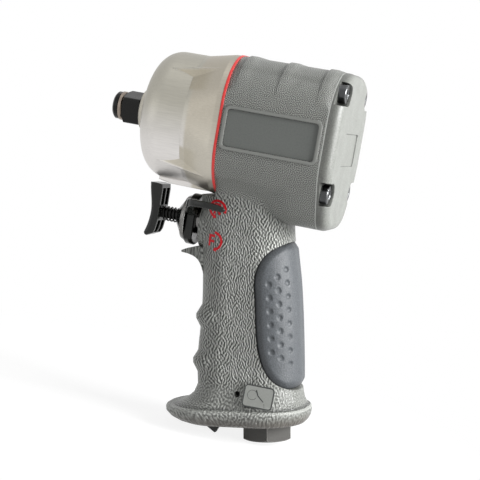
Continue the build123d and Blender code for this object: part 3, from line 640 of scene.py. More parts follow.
    def handle_share(self, tree: Tree, axes: Axes, place: Source) -> Node:
        """Share of the handle's wrinkles at a place.

        It rises below root_z, along a wavy line. Behind keel_x the line falls by keel_fall
        times the square of the distance, so that the keel stays pebbled. The beak under the
        trigger, ahead of beak_x and above beak_z, has none.

        Args:
            tree: node tree of the material.
            axes: X, Y and Z of the place.
            place: Object coordinates, in millimetres.

        Returns:
            Node that gives 0 on the barrel to 1 on the handle.
        """
        past_keel = add(tree, "Math", {0: axes["X"], 1: self.keel_x}, operation="SUBTRACT")
        behind = add(tree, "Math", {0: past_keel, 1: 0.0}, operation="MAXIMUM")
        square = add(tree, "Math", {0: behind, 1: 2.0}, operation="POWER")
        fall = add(tree, "Math", {0: square, 1: self.keel_fall, 2: axes["Z"]}, operation="MULTIPLY_ADD")
        wave = add(tree, "TexNoise", {"Vector": place, "Scale": 1.0 / self.root_wave_mm, "Detail": 1.0})
        line_z = add(tree, "Math", {0: wave, 1: self.root_wave_height, 2: fall}, operation="MULTIPLY_ADD")
        below_root = zone(tree, (line_z, *self.root_z))
        past_beak = zone(tree, (axes["X"], *self.beak_x))
        under_beak = zone(tree, (axes["Z"], *self.beak_z))
        off_beak = add(tree, "Math", {0: past_beak, 1: under_beak}, operation="MAXIMUM")
        return add(tree, "Math", {0: below_root, 1: off_beak}, operation="MULTIPLY")

    def frame_share(self, tree: Tree, axes: Axes) -> Node:
        """Share of the plates' raised frames, which alone stand past frame_y from the middle plane."""
        across = add(tree, "Math", {0: axes["Y"]}, operation="ABSOLUTE")
        return add(tree, "MapRange", {
            "Value": across, "From Min": self.frame_y[0], "From Max": self.frame_y[1]})

    @staticmethod
    def handle_axes(tree: Tree, place: Source) -> Axes:
        """X, Y and Z of a place in the handle's own frame: X rearward, Z up its axis."""
        turned = add(tree, "Mapping", {
            "Vector": place, "Location": (HANDLE_X, 0.0, 0.0), "Rotation": (0.0, -RAKE, 0.0)},
            vector_type="TEXTURE")
        return add(tree, "SeparateXYZ", {"Vector": turned}).outputs

    def wrinkles(self, tree: Tree, place: Source) -> Node:
        """Height of the wrinkles: ridges wrinkle_mm apart that run down the handle, wander and end.

        With r the distance from the handle's axis and a the angle round it, the ridges
        vary along a times mean_r, and down the handle along
        (z - max(r - wall_r, 0)) / wrinkle_long, so that ledges carry them on. On the foot
        they have no order, and go towards foot_height and at the rear towards rear_height.

        Args:
            tree: node tree of the material.
            place: Object coordinates, in millimetres.

        Returns:
            Node that gives 0 in the grooves to 1 on the ridges.
        """
        axes = self.handle_axes(tree, place)
        ahead = add(tree, "Math", {0: axes["X"], 1: -1.0}, operation="MULTIPLY")
        angle = add(tree, "Math", {0: axes["Y"], 1: ahead}, operation="ARCTAN2")
        around = add(tree, "Math", {0: angle, 1: self.mean_r}, operation="MULTIPLY")
        level = add(tree, "CombineXYZ", {"X": axes["X"], "Y": axes["Y"]})
        radius = add(tree, "VectorMath", {0: level}, operation="LENGTH")
        past_wall = add(tree, "Math", {0: radius, 1: self.wall_r}, operation="SUBTRACT")
        ledge = add(tree, "Math", {0: past_wall, 1: 0.0}, operation="MAXIMUM")
        run = add(tree, "Math", {0: axes["Z"], 1: ledge}, operation="SUBTRACT")
        down = add(tree, "Math", {0: run, 1: 1.0 / self.wrinkle_long}, operation="MULTIPLY")
        wall = add(tree, "CombineXYZ", {"X": around, "Y": down})
        foot = zone(tree, (axes["Z"], -self.foot_s[0], -self.foot_s[1]))
        order = add(tree, "Mix", {SHARE: foot, NUMBER_A: self.wrinkle_order, NUMBER_B: 0.0})
        ridges = add(tree, "TexGabor", {
            "Vector": wall, "Scale": 1.0 / (RIDGES * self.wrinkle_mm), "Frequency": RIDGES,
            "Anisotropy": order, "Orientation": 0.0}, gabor_type="2D")
        height = zone(tree, (ridges, *self.wrinkle_range))
        rear = zone(tree, (axes["X"], *self.rear_t), (axes["Z"], -self.rear_s[0], -self.rear_s[1]))
        for part, most, towards in ((foot, self.foot_calm, self.foot_height),
                                    (rear, self.rear_calm, self.rear_height)):
            calm = add(tree, "Math", {0: part, 1: most}, operation="MULTIPLY")
            height = add(tree, "Mix", {SHARE: calm, NUMBER_A: height, NUMBER_B: towards})
        return height

    def lip_painted_light(self, tree: Tree, place: Source, tone: Source) -> Source:
        """Paint light on the foot's lip: a painted shade in the corner above it, a painted highlight on its
        edge, and a painted shade, darker and browner, towards the bottom.

        Args:
            tree: node tree of the material.
            place: Object coordinates, in millimetres.
            tone: colour of the wrinkled skin.

        Returns:
            The colour with the painted light.
        """
        up = self.handle_axes(tree, place)["Z"]
        lip = -self.lip_s
        # Start, full strength and end of each mark, measured down from the lip; its share; its colour.
        # A painted shade in the corner, a painted highlight on the edge, a darker and browner painted shade
        # towards the bottom.
        marks = ((-1.6, -0.3, 0.0, 0.6, self.corner), (0.0, 0.2, 1.4, 0.45, self.crest),
                 (1.8, 5.8, 60.0, 0.8, self.foot_bottom_shade))
        for start, full, end, most, colour in marks:
            rise = add(tree, "MapRange", {
                "Value": up, "From Min": lip - start, "From Max": lip - full, "To Max": most})
            above_end = add(tree, "Math", {0: up, 1: lip - end}, operation="GREATER_THAN")
            share = add(tree, "Math", {0: rise, 1: above_end}, operation="MULTIPLY")
            tone = add(tree, "Mix", {
                SHARE: share, COLOUR_A: tone, COLOUR_B: linear(colour)}, data_type="RGBA")
        return tone


@dataclass(frozen=True)
class Speckled(Finish):
    """A finish with a fine even grain of tone and relief, for paint, rubber, nylon, oxide and ground steel.

    The gloss swings with a broad noise of handled_mm, as handling leaves it.
    """

    grain_mm: float = 0.8
    grain_depth_mm: float = 0.03
    grain_relief: float = 0.7
    dark: str = "#000000"
    light: str = "#FFFFFF"
    gloss_swing: float = 0.06
    handled_mm: float = 9.0
    handled_range: tuple[float, float] = (0.3, 0.7)
    stretch: tuple[float, float, float] = (1.0, 1.0, 1.0)

    def surface(self, tree: Tree, place: Source, edge: Source) -> dict[str, Source]:
        """Mix the two tones by a noise that also lifts the surface.

        Args:
            tree: node tree of the material.
            place: Object coordinates, in millimetres.
            edge: normal with rounded edges.

        Returns:
            What goes into the shader's inputs.
        """
        lay = add(tree, "Mapping", {"Vector": place, "Scale": self.stretch})
        grain = add(tree, "TexNoise", {
            "Vector": lay, "Scale": 1.0 / self.grain_mm, "Detail": 2.0, "Roughness": 0.6})
        handled = add(tree, "TexNoise", {"Vector": place, "Scale": 1.0 / self.handled_mm, "Detail": 3.0})
        tone = add(tree, "Mix", {
            SHARE: grain, COLOUR_A: linear(self.dark), COLOUR_B: linear(self.light)}, data_type="RGBA")
        gloss = add(tree, "MapRange", {
            "Value": handled, "From Min": self.handled_range[0], "From Max": self.handled_range[1],
            "To Min": self.roughness - self.gloss_swing, "To Max": self.roughness + self.gloss_swing})
        relief = add(tree, "Bump", {
            "Height": grain, "Strength": self.grain_relief, "Distance": self.grain_depth_mm * MM,
            "Normal": edge})
        return {"Base Color": self.tint(tree, tone, place), "Roughness": gloss, "Normal": relief}

    def tint(self, tree: Tree, tone: Source, place: Source) -> Source:
        """Change the tone by place; here it stays the same all over."""
        return tone


@dataclass(frozen=True)
class CoverPaint(Speckled):
    """Paint of the rear cover, bright on the flat face and painted duller down its sides, a painted shade."""

    side_shade_x: tuple[float, float] = (101.1, 98.5)
    side: str = "#D2D2D1"

    def tint(self, tree: Tree, tone: Source, place: Source) -> Node:
        """Darken the tone from the face's edge down the sides, a painted shade.

        Args:
            tree: node tree of the material.
            tone: colour of the face.
            place: Object coordinates, in millimetres.

        Returns:
            Node that gives the tinted colour.
        """
        along = add(tree, "SeparateXYZ", {"Vector": place}).outputs["X"]
        # The sides are darkened: a painted shade.
        return add(tree, "Mix", {
            SHARE: zone(tree, (along, *self.side_shade_x)), COLOUR_A: tone, COLOUR_B: linear(self.side)},
            data_type="RGBA", blend_type="MULTIPLY")


@dataclass(frozen=True)
class RimmedRubber(Speckled):
    """Rubber painted dark along its rim, a painted shade; the mesh holds the rim's share."""

    rim: str = "#1E2022"
    rim_attribute: str = "rim_shade_share"

    def tint(self, tree: Tree, tone: Source, place: Source) -> Node:
        """Take the tone towards the rim's colour by the mesh's own share."""
        share = add(tree, "Attribute", attribute_name=self.rim_attribute).outputs["Fac"]
        # The rim is darkened: a painted shade.
        return add(tree, "Mix", {SHARE: share, COLOUR_A: tone, COLOUR_B: linear(self.rim)}, data_type="RGBA")


# Brushed casting: soft grey-beige metal with blurred highlights, painted paler low on the round as painted
# light, corner facets darkened as painted shade, and paler edges that are partly rubbed and partly a painted
# highlight.
BRUSHED_CASTING = BrushedCasting("brushed_aluminium", 0.42, metallic=1.0, edge_mm=0.7, wear_highlight=0.3,
                                 wear_highlight_tone="#CBC9C3")
# Moulded glass-filled nylon: dull grey with a sparkle of fine pebbles, wrinkles down the handle, and a
# painted shade in its creases and recesses.
NYLON_HOUSING = GrainedComposite("grained_nylon", 0.38, specular=0.5, edge_mm=0.6, recess_shade=0.75, recess_shade_mm=1.6)
# Stoved paint on the cast cover: light grey with an orange peel, painted darker down its sides and round the
# screws as a painted shade.
COVER_PAINT = CoverPaint("satin_grey_paint", 0.40, grain_mm=0.6, grain_depth_mm=0.16, dark="#4E504C",
                         light="#9A9C97", edge_mm=0.6, recess_shade=0.65)
# Smooth moulded field of the two plates: darker and less broken than the grain round it, with a painted shade
# along the frame's inner edge.
PLATE_FIELD = Speckled("smooth_dark_nylon", 0.46, grain_mm=0.7, grain_depth_mm=0.02, dark="#5D605D",
                       light="#6F726F", specular=0.4, recess_shade=0.7, recess_shade_mm=1.6)
# Soft moulded rubber: bluish dark grey with a broad dull sheen, and a painted shade in its dimples and round
# its edge.
GRIP_RUBBER = RimmedRubber("moulded_rubber", 0.48, grain_mm=0.6, grain_depth_mm=0.26, dark="#25282B",
                           light="#666A6E", specular=0.42, recess_shade=0.9, recess_shade_mm=3.4)
# Smooth patch of the housing beside the oiling hole: plain grey, satin.
SMOOTH_NYLON = Speckled("smooth_grey_nylon", 0.40, grain_mm=0.8, grain_depth_mm=0.015, dark="#7E807C",
                        light="#8C8E8A", specular=0.4)
# Printed rim and pictogram of the oiling plate: dull dark ink.
DARK_INK = Speckled("dark_printing_ink", 0.5, grain_mm=0.5, grain_depth_mm=0.01, dark="#262827",
                    light="#313332", edge_mm=0.05)
# Satin black nylon: deep black with narrow painted highlights along its moulded edges, partly wear.
BLACK_NYLON = Speckled("satin_black_nylon", 0.18, grain_mm=0.7, grain_depth_mm=0.012, dark="#131513",
                       light="#1F211F", specular=0.32, edge_mm=0.5, wear_highlight=0.6, wear_highlight_tone="#6E706C")
# Black oxide on steel: near black with an oily sheen, paler along the edges, partly wear and partly a painted
# highlight.
BLACK_OXIDE = Speckled("oiled_black_oxide", 0.28, grain_mm=0.5, grain_depth_mm=0.012, dark="#080807",
                       light="#11110F", specular=0.25, gloss_swing=0.08, edge_mm=0.4, wear_highlight=0.35,
                       wear_highlight_tone="#4A4842")
# Black zinc on the screws: dark mirror-like metal that catches a light spot on each rounded head, with a
# painted highlight round its edge.
BLACK_ZINC = Speckled("black_zinc_steel", 0.24, metallic=1.0, grain_mm=0.5, grain_depth_mm=0.006,
                      dark="#404142", light="#545556", edge_mm=1.2, wear_highlight=0.5, wear_highlight_tone="#A4A6A8")
# Phosphated steel: a dull dark grey coat that shows each face of the hex in another tone, and pale edges,
# partly wear and partly a painted highlight.
DARK_STEEL = Speckled("phosphated_steel", 0.50, specular=0.2, grain_mm=0.5, grain_depth_mm=0.012,
                      dark="#4A4947", light="#585754", gloss_swing=0.06, edge_mm=0.6, wear_highlight=0.8,
                      wear_highlight_tone="#A8A6A2")
# Ground steel: pale metal with fine grinding lines round the spindle.
GROUND_STEEL = Speckled("surface_ground_steel", 0.28, metallic=1.0, grain_mm=0.4, grain_depth_mm=0.006,
                        dark="#9A9A98", light="#B8B8B6", stretch=(1.0, 0.1, 0.1))
# Drawn spring wire: warm grey metal with a drawn sheen.
SPRING_STEEL = Speckled("drawn_spring_wire", 0.26, metallic=1.0, grain_mm=0.4, grain_depth_mm=0.004,
                        dark="#786D64", light="#A0958A", edge_mm=0.1)
# Blackened spring wire: black with a thin glint along each turn.
BLACK_WIRE = Speckled("blackened_spring_wire", 0.32, metallic=0.7, grain_mm=0.4, grain_depth_mm=0.004,
                      dark="#1A1A19", light="#282827", edge_mm=0.1)
# Dark polished plating on the reverse valve: mirrors in a deep grey, with near-white painted highlights along
# its edges.
DARK_CHROME = Speckled("dark_polished_plate", 0.14, metallic=1.0, grain_mm=2.0, grain_depth_mm=0.002,
                       dark="#626160", light="#72716F", gloss_swing=0.03, edge_mm=0.5, wear_highlight=0.9,
                       wear_highlight_tone="#F0EFEC")
# Machined bronze: warm brown metal with turning lines.
BRONZE = Speckled("machined_bronze", 0.34, metallic=1.0, grain_mm=0.5, grain_depth_mm=0.006, dark="#7E653E",
                  light="#A08356", stretch=(1.0, 0.2, 0.2))
# Sintered bronze soaked in oil: pale tan, dull, with open pores.
SINTERED_BRONZE = Speckled("sintered_bronze", 0.46, metallic=1.0, grain_mm=0.5, grain_depth_mm=0.02,
                           dark="#9C988D", light="#BAB6AC", edge_mm=0.3)
# Red elastomer ring: even bright red with a soft sheen.
RED_RING = Speckled("red_elastomer", 0.40, grain_mm=0.8, grain_depth_mm=0.01, dark="#D43634", light="#E44442")
# Cotton-filled resin of the vanes: brown with short fibres.
VANE_RESIN = Speckled("fibre_resin", 0.55, grain_mm=0.8, grain_depth_mm=0.02, dark="#6A3E24", light="#8A5634")
# Black seal rubber: dull and even.
SEAL_RUBBER = Speckled("black_seal_rubber", 0.55, grain_mm=0.7, grain_depth_mm=0.01, dark="#151515",
                       light="#1E1E1E")
# Fibre gasket between housing and cover: pale dry grey edge.
GASKET_FIBRE = Speckled("grey_fibre_gasket", 0.6, grain_mm=0.6, grain_depth_mm=0.02, dark="#AAACA8",
                        light="#BEC0BC", specular=0.3)
# Red marking paint: opaque, slightly glossy.
SIGN_RED = Speckled("red_marking_paint", 0.42, grain_mm=0.6, grain_depth_mm=0.01, dark="#CB1320",
                    light="#E01D2C", specular=0.3, edge_mm=0.05)


@dataclass
class SubAssembly:
    """Pieces that belong together: the body they move with and the finish of each solid."""

    body: str
    finishes: dict[str, Finish] = field(default_factory=dict)

    def build(self) -> None:
        """Make the pieces that the solids don't have; a plain group has none."""

    def dress(self) -> None:
        """Give every solid of the group its finish."""
        for node, finish in self.finishes.items():
            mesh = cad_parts[node].data
            mesh.materials.clear()
            mesh.materials.append(finish.material())
            LOG.info("%s in %s", node, finish.name)

    def carry(self, piece: Piece) -> None:
        """Let a new piece ride on the group's body."""
        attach(piece, self.body)

    def settle(self, piece: Piece, finish: Finish, slot: str, *stands_for: str) -> None:
        """Finish a new piece and let it move with the group.

        Args:
            piece: the new piece.
            finish: its surface.
            slot: material slot of the record; not used.
            stands_for: solids that it replaces.
        """
        piece.data.materials.append(finish.material())
        self.carry(piece)
        if stands_for:
            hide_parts(*stands_for)
        LOG.info("%s, %d faces, in %s", piece.name, len(piece.data.polygons), finish.name)


@dataclass
class HandleForm:
    """The handle's sections: round rectangles along an axis that leans back.

    Each row gives the place s along the axis, the middle t, the half length a, the
    half width b and the corner radius r. Between rows every size follows a cubic.
    """

    rows: np.ndarray = field(default_factory=lambda: np.array([
        (16.0, 1.0, 23.5, 28.4, 20.0), (30.0, 0.3, 22.2, 21.6, 17.0), (44.0, -0.4, 21.4, 18.3, 15.4),
        (58.0, 0.0, 21.8, 17.4, 15.0), (72.0, 0.6, 22.6, 17.1, 15.0), (86.0, 0.6, 23.3, 17.0, 15.0),
        (100.0, 0.0, 24.2, 17.2, 15.0), (114.0, -0.4, 24.7, 17.6, 15.5), (126.0, -0.7, 24.9, 18.0, 16.0)]))

    def sizes(self, s: np.ndarray) -> np.ndarray:
        """Sizes t, a, b and r at places s, each as an array of the shape of s."""
        return np.moveaxis(cubics(self.rows[:, 0], self.rows[:, 1:], s), -1, 0)

    def wall(self, s: np.ndarray, w: np.ndarray, lift: np.ndarray) -> np.ndarray:
        """Points on the wall at s, a distance w round from the middle of the back.

        With l = b - r: flat back to w = l, then a corner of angle (w - l) / r, then the
        flat side; the point is pushed out by lift along the wall's normal.

        Args:
            s: places along the axis.
            w: distance round the section, negative towards the near side.
            lift: height over the wall.

        Returns:
            Points in the object's frame, in millimetres.
        """
        middle, a, b, r = self.sizes(s)
        side = np.sign(w)
        run = np.abs(w)
        turn = np.clip((run - (b - r)) / r, 0.0, math.pi / 2)
        t = middle + (a - r) + r * np.cos(turn) - np.maximum(run - (b - r) - r * math.pi / 2, 0.0)
        y = np.minimum(run, b - r) + r * np.sin(turn)
        return self.place(s, t + lift * np.cos(turn), side * (y + lift * np.sin(turn)))

    @staticmethod
    def place(s: np.ndarray, t: np.ndarray, y: np.ndarray) -> np.ndarray:
        """Point at s along the axis, t rearward and y across, in the object's frame."""
        return np.stack([HANDLE_X + s * math.sin(RAKE) + t * math.cos(RAKE), y + 0.0 * s,
                         -s * math.cos(RAKE) + t * math.sin(RAKE)], axis=-1)

    @staticmethod
    def along_axis(x: np.ndarray, z: np.ndarray) -> tuple[np.ndarray, np.ndarray]:
        """Places s along the axis and t rearward of it, of points x and z of the side view."""
        off = x - HANDLE_X
        return off * math.sin(RAKE) - z * math.cos(RAKE), off * math.cos(RAKE) + z * math.sin(RAKE)


@dataclass
class Grip(SubAssembly):
    """Rubber insert round the back of the handle, with rows of round dimples.

    The outline is that of its front edge in the side view, as X and Z. Each column of
    dimples has its distance round from the middle of the back, the place s of its first
    dimple and their number.
    """

    form: HandleForm = field(default_factory=HandleForm)
    outline: np.ndarray = field(default_factory=lambda: np.array([
        (90.0, -45.5), (79.5, -51.2), (73.8, -58.2), (72.2, -66.0), (74.4, -78.0), (77.0, -90.3),
        (79.6, -99.0), (83.4, -106.6), (89.0, -112.3), (96.8, -115.1), (106.0, -114.4)]))
    outline_points: int = 600
    search_s: tuple[float, float, int] = (50.0, 121.0, 1400)
    grid: tuple[int, int] = (210, 190)
    proud: float = 1.1
    sink: float = 0.8
    rim_mm: float = 1.3
    edge_round: float = 3.2
    edge_sharpness: float = 9.0
    dimple_r: float = 1.4
    dimple_depth: float = 0.7
    columns: tuple[tuple[float, float, int], ...] = ((-20.8, 71.8, 6), (-16.6, 68.5, 7), (-11.8, 65.3, 8))
    pitch: float = 6.25

    def front_edge(self, s: np.ndarray) -> np.ndarray:
        """Place t of the insert's front edge at s, by smooth cubics through the outline.

        Args:
            s: places along the axis.

        Returns:
            Places t rearward of the axis.
        """
        knots = np.stack(self.form.along_axis(self.outline[:, 0], self.outline[:, 1]), axis=-1)
        chord = run_along(self.outline)
        curve_s, curve_t = cubics(chord, knots, np.linspace(0.0, chord[-1], self.outline_points)).T
        return np.interp(s, np.maximum.accumulate(curve_s), curve_t)

    def reach(self, s: np.ndarray) -> np.ndarray:
        """Distance round the wall from the middle of the back to the front edge.

        It is the back's flat b - r, the arc r acos((t - (a - r)) / r) of the corner, and
        what the edge lies ahead of the corner.

        Args:
            s: places along the axis.

        Returns:
            Distances round the wall.
        """
        middle, a, b, r = self.form.sizes(s)
        t = self.front_edge(s) - middle
        turn = np.arccos(np.clip((t - (a - r)) / r, 0.0, 1.0))
        return (b - r) + r * turn + np.maximum((a - r) - t, 0.0)

    def ends(self) -> tuple[float, float]:
        """Find where the front edges meet at the back, by a fine search along the axis.

        Returns:
            The upper and the lower place along the axis.
        """
        s = np.linspace(*self.search_s)
        middle, a, _, _ = self.form.sizes(s)
        inside = s[self.front_edge(s) < middle + a]
        return float(inside[0]), float(inside[-1])

    def build(self) -> None:
        """Make the insert: a wall patch with a rolled edge, a pillow lift and dimples.

        The lift is -sink at the edge and rises over edge_round to proud, by the smooth
        minimum of a straight chamfer and the top; each dimple takes off dimple_depth
        (1 - q^4) with q its distance over its radius. The rim's share of painted shade falls
        as exp(-margin / rim_mm) from the edge.
        """
        first, last = self.ends()
        v = np.linspace(-1.0, 1.0, self.grid[0])[:, None]
        u = np.linspace(-1.0, 1.0, self.grid[1])[None, :]
        s = (first + last) / 2 + (last - first) / 2 * np.sin(v * math.pi / 2) + 0.0 * u
        reach = self.reach(s)
        w = reach * u
        lean = np.gradient(reach[:, 0], s[:, 0])[:, None]
        margin = np.minimum((reach - np.abs(w)) / np.hypot(1.0, lean), np.minimum(s - first, last - s))
        margin = np.clip(margin, 0.0, None)
        inward = self.edge_sharpness * (1.0 - margin / self.edge_round)
        lift = self.proud - (self.proud + self.sink) * np.logaddexp(0.0, inward) / self.edge_sharpness
        spots = np.array([(side * column, top + k * self.pitch) for side in (1.0, -1.0)
                          for column, top, count in self.columns for k in range(count)])
        away = np.hypot(w[..., None] - spots[:, 0], s[..., None] - spots[:, 1]) / self.dimple_r
        lift = lift - self.dimple_depth * np.sum(np.clip(1.0 - away ** 4, 0.0, None), axis=-1)
        piece = grid_object("grip_insert", self.form.wall(s, w, lift))
        # Share of the painted shade along the rim.
        rim = piece.data.attributes.new(GRIP_RUBBER.rim_attribute, "FLOAT", "POINT")
        rim.data.foreach_set("value", np.exp(-margin / self.rim_mm).astype(np.float32).ravel())
        self.settle(piece, GRIP_RUBBER, "grip_rubber", "rubber_grip")


class Sense(Enum):
    """Turning direction that a mark on the handle stands for."""

    FORWARD = "forward"
    REVERSE = "reverse"


def ribbon(path: np.ndarray, half: np.ndarray | float, across: int = 5) -> np.ndarray:
    """Flat stroke along a path in the plane.

    The stroke's edges lie half to each side along the path's normal.

    Args:
        path: array of points and 2.
        half: half width, one value or one per point.
        across: points across the stroke.

    Returns:
        Grid of points, across and 2.
    """
    tangent = np.gradient(path, axis=0)
    tangent /= np.linalg.norm(tangent, axis=1, keepdims=True)
    normal = np.stack([-tangent[:, 1], tangent[:, 0]], axis=1)
    side = np.linspace(-1.0, 1.0, across)[None, :, None]
    half = np.broadcast_to(np.asarray(half, dtype=float), (len(path),))[:, None, None]
    return path[:, None, :] + side * half * normal[:, None, :]


def line(points: list[tuple[float, float]], count: int = 14) -> np.ndarray:
    """Evenly spaced points along a broken line.

    Args:
        points: corners of the line.
        count: number of points.

    Returns:
        Array of count and 2.
    """
    corners = np.array(points, dtype=float)
    run = run_along(corners)
    at = np.linspace(0.0, run[-1], count)
    return np.stack([np.interp(at, run, corners[:, 0]), np.interp(at, run, corners[:, 1])], axis=1)


def arc(centre: tuple[float, float], radius: float, start: float, end: float, count: int = 40) -> np.ndarray:
    """Points on a circle from start to end, in degrees."""
    angle = np.radians(np.linspace(start, end, count))
    return np.stack([centre[0] + radius * np.cos(angle), centre[1] + radius * np.sin(angle)], axis=1)


def letter_f() -> list[np.ndarray]:
    """Paths of a plain F: a stem and two bars."""
    return [line([(-2.2, -2.7), (-2.2, 2.7)]), line([(-2.2, 2.3), (0.5, 2.3)]),
            line([(-2.2, -0.2), (0.4, -0.2)])]


def letter_r() -> list[np.ndarray]:
    """Paths of a plain R: a stem, a half-round bowl and a leg."""
    bowl = np.concatenate([line([(-1.4, 2.2), (0.3, 2.2)], 6), arc((0.3, 1.1), 1.1, 80.0, -80.0, 16),
                           line([(0.3, 0.0), (-1.4, 0.0)], 6)])
    return [line([(-1.4, -2.4), (-1.4, 2.4)]), bowl, line([(-0.1, 0.0), (1.5, -2.4)])]


@dataclass
class DirectionMarks(SubAssembly):
    """Red turning marks beside the lever: a round arrow with a plain letter in it.

    Each spot gives the mark's middle in the side view, as X and Z, and the arrow's radius.
    The head starts head_wide half strokes wide, and is head_blunt of one at its tip. Its
    neck laps the bow by head_lap, and its shoulder is head_step long.
    """

    form: HandleForm = field(default_factory=HandleForm)
    stroke: float = 0.58
    lift: float = 0.05
    head_long: float = 1.5
    head_wide: float = 2.1
    head_blunt: float = 0.05
    head_lap: float = 0.05
    head_step: float = 0.01
    head_points: int = 9
    corner_share: float = 0.98
    spots: dict[Sense, tuple[float, float, float]] = field(default_factory=lambda: {
        Sense.FORWARD: (50.0, -53.6, 4.0), Sense.REVERSE: (50.0, -38.6, 3.9)})

    def arrow(self, bow: np.ndarray) -> list[np.ndarray]:
        """Strokes of a round arrow: its bow, and a head that narrows straight on from the bow's end.

        Args:
            bow: path of the bow.

        Returns:
            Grids of stroke points.
        """
        tangent = bow[-1] - bow[-2]
        tangent /= np.linalg.norm(tangent)
        taper = np.linspace(0.0, self.head_long, self.head_points) + self.head_step
        reach = np.concatenate([[-self.head_lap, 0.0], taper])
        width = np.concatenate([[1.0, self.head_wide],
                                np.linspace(self.head_wide, self.head_blunt, self.head_points)])
        return [ribbon(bow, self.stroke), ribbon(bow[-1] + tangent * reach[:, None], width * self.stroke)]

    def strokes(self, sense: Sense) -> list[np.ndarray]:
        """Strokes of one mark in its own plane, x to the rear and y up.

        Args:
            sense: turning direction.

        Returns:
            Grids of stroke points.
        """
        radius = self.spots[sense][2]
        if sense is Sense.FORWARD:
            bow, letter = arc((0.0, 0.0), radius, 90.0, -66.0), letter_f()
        else:
            bow, letter = arc((0.0, 0.0), radius, -20.0, 245.0, 60), letter_r()
        return self.arrow(bow) + [ribbon(path, self.stroke) for path in letter]

    def on_side(self, flat: np.ndarray) -> np.ndarray:
        """Points of the side view laid on the handle's near side, a hair above its wall.

        A point goes to y = -(b - r + sqrt(r^2 - d^2)), with d how far it is past the side's flat.

        Args:
            flat: array that ends in X and Z.

        Returns:
            Array that ends in X, Y and Z.
        """
        s, t = self.form.along_axis(flat[..., 0], flat[..., 1])
        middle, a, b, r = self.form.sizes(s)
        past = np.clip(np.abs(t - middle) - (a - r), 0.0, self.corner_share * r)
        return self.form.place(s, t, -(b - r + np.sqrt(r * r - past * past)) - self.lift)

    def build(self) -> None:
        """Make both marks and draw them down onto the housing."""
        for sense, (x, z, _) in self.spots.items():
            grids = [self.on_side(grid + (x, z)) for grid in self.strokes(sense)]
            mark = join_grids("mark_" + sense.value, grids)
            self.settle(mark, SIGN_RED, "gasket_red")
            wrap_on(mark, "motor_housing", self.lift)


@dataclass
class ReverseLever(SubAssembly):
    """Reverse lever: a hub with two flats on the valve, and a slim arm that sweeps back along the handle.

    Each row of the arm gives its place, its heading from X towards the near side in
    degrees, its thickness and its height.
    """

    front: float = 32.3
    rear: float = 36.7
    radius: float = 12.2
    flat: float = 8.4
    bore: float = 6.55
    chamfer: float = 0.6
    crease: float = 0.04
    hub_points: int = 160
    hub_start: float = 1e-4
    arm: np.ndarray = field(default_factory=lambda: np.array([
        (34.5, -6.6, -41.4, 86.0, 4.1, 8.0), (34.9, -11.6, -40.4, 81.0, 4.1, 6.6),
        (36.1, -16.6, -38.8, 66.0, 3.9, 4.8), (38.6, -20.6, -37.8, 42.0, 3.7, 3.6),
        (42.2, -22.7, -37.5, 16.0, 3.3, 3.2), (47.0, -23.3, -37.5, 3.0, 2.9, 3.0),
        (51.4, -23.2, -37.9, 0.0, 2.5, 2.9), (54.0, -23.0, -38.2, 0.0, 1.6, 1.8),
        (54.9, -22.9, -38.3, 0.0, 0.5, 0.5)]))

    def hub(self) -> np.ndarray:
        """Closed grid of the hub: its outline r = min(radius, flat / |cos a|) drawn in at the chamfers.

        Rows a crease apart keep the chamfers' edges crisp.

        Returns:
            Array of profile rows, points round and 3.
        """
        angle = turns(self.hub_points, self.hub_start)
        outer = np.minimum(self.radius, self.flat / np.abs(np.cos(angle)))
        cut, both = self.chamfer, self.chamfer + self.crease
        x = np.array([self.front, self.front, self.front, self.front + cut, self.front + both,
                      self.rear - both, self.rear - cut, self.rear, self.rear, self.rear])
        inset = np.array([np.inf, both, cut, 0.0, 0.0, 0.0, 0.0, cut, both, np.inf])
        r = np.maximum(outer[None, :] - inset[:, None], self.bore)
        return np.stack([x[:, None] + 0.0 * r, r * np.cos(angle), ROD_Z + r * np.sin(angle)], axis=-1)

    def sweep(self, count: int = 90, around: int = 40) -> np.ndarray:
        """Grid of the arm: sections |p|^4 + |q|^4 = 1 carried along smooth cubics, drawn in at both ends.

        Args:
            count: sections along the arm.
            around: points round a section.

        Returns:
            Array of count and 2 more, around and 3.
        """
        run = run_along(self.arm[:, :3])
        rows = cubics(run, self.arm, held_ends(np.linspace(0.0, run[-1], count)))
        rows[[0, -1], 4:] = 0.0
        x, y, z, heading, thick, high = rows.T[..., None]
        angle = turns(around)[None, :]
        p = np.sign(np.cos(angle)) * np.sqrt(np.abs(np.cos(angle))) * thick / 2
        q = np.sign(np.sin(angle)) * np.sqrt(np.abs(np.sin(angle))) * high / 2
        turn = np.radians(heading)
        return np.stack([x - p * np.sin(turn), y - p * np.cos(turn), z + q], axis=-1)

    def build(self) -> None:
        """Make hub and arm as two meshes of one finish that stand for the lever's solid."""
        hub = grid_object("lever_hub", self.hub(), close_u=True, close_v=True)
        arm = grid_object("lever_arm", self.sweep(), close_u=True)
        weld(arm)
        self.settle(hub, BLACK_NYLON, "black_nylon", "reverse_lever")
        self.settle(arm, BLACK_NYLON, "black_nylon", "reverse_lever")


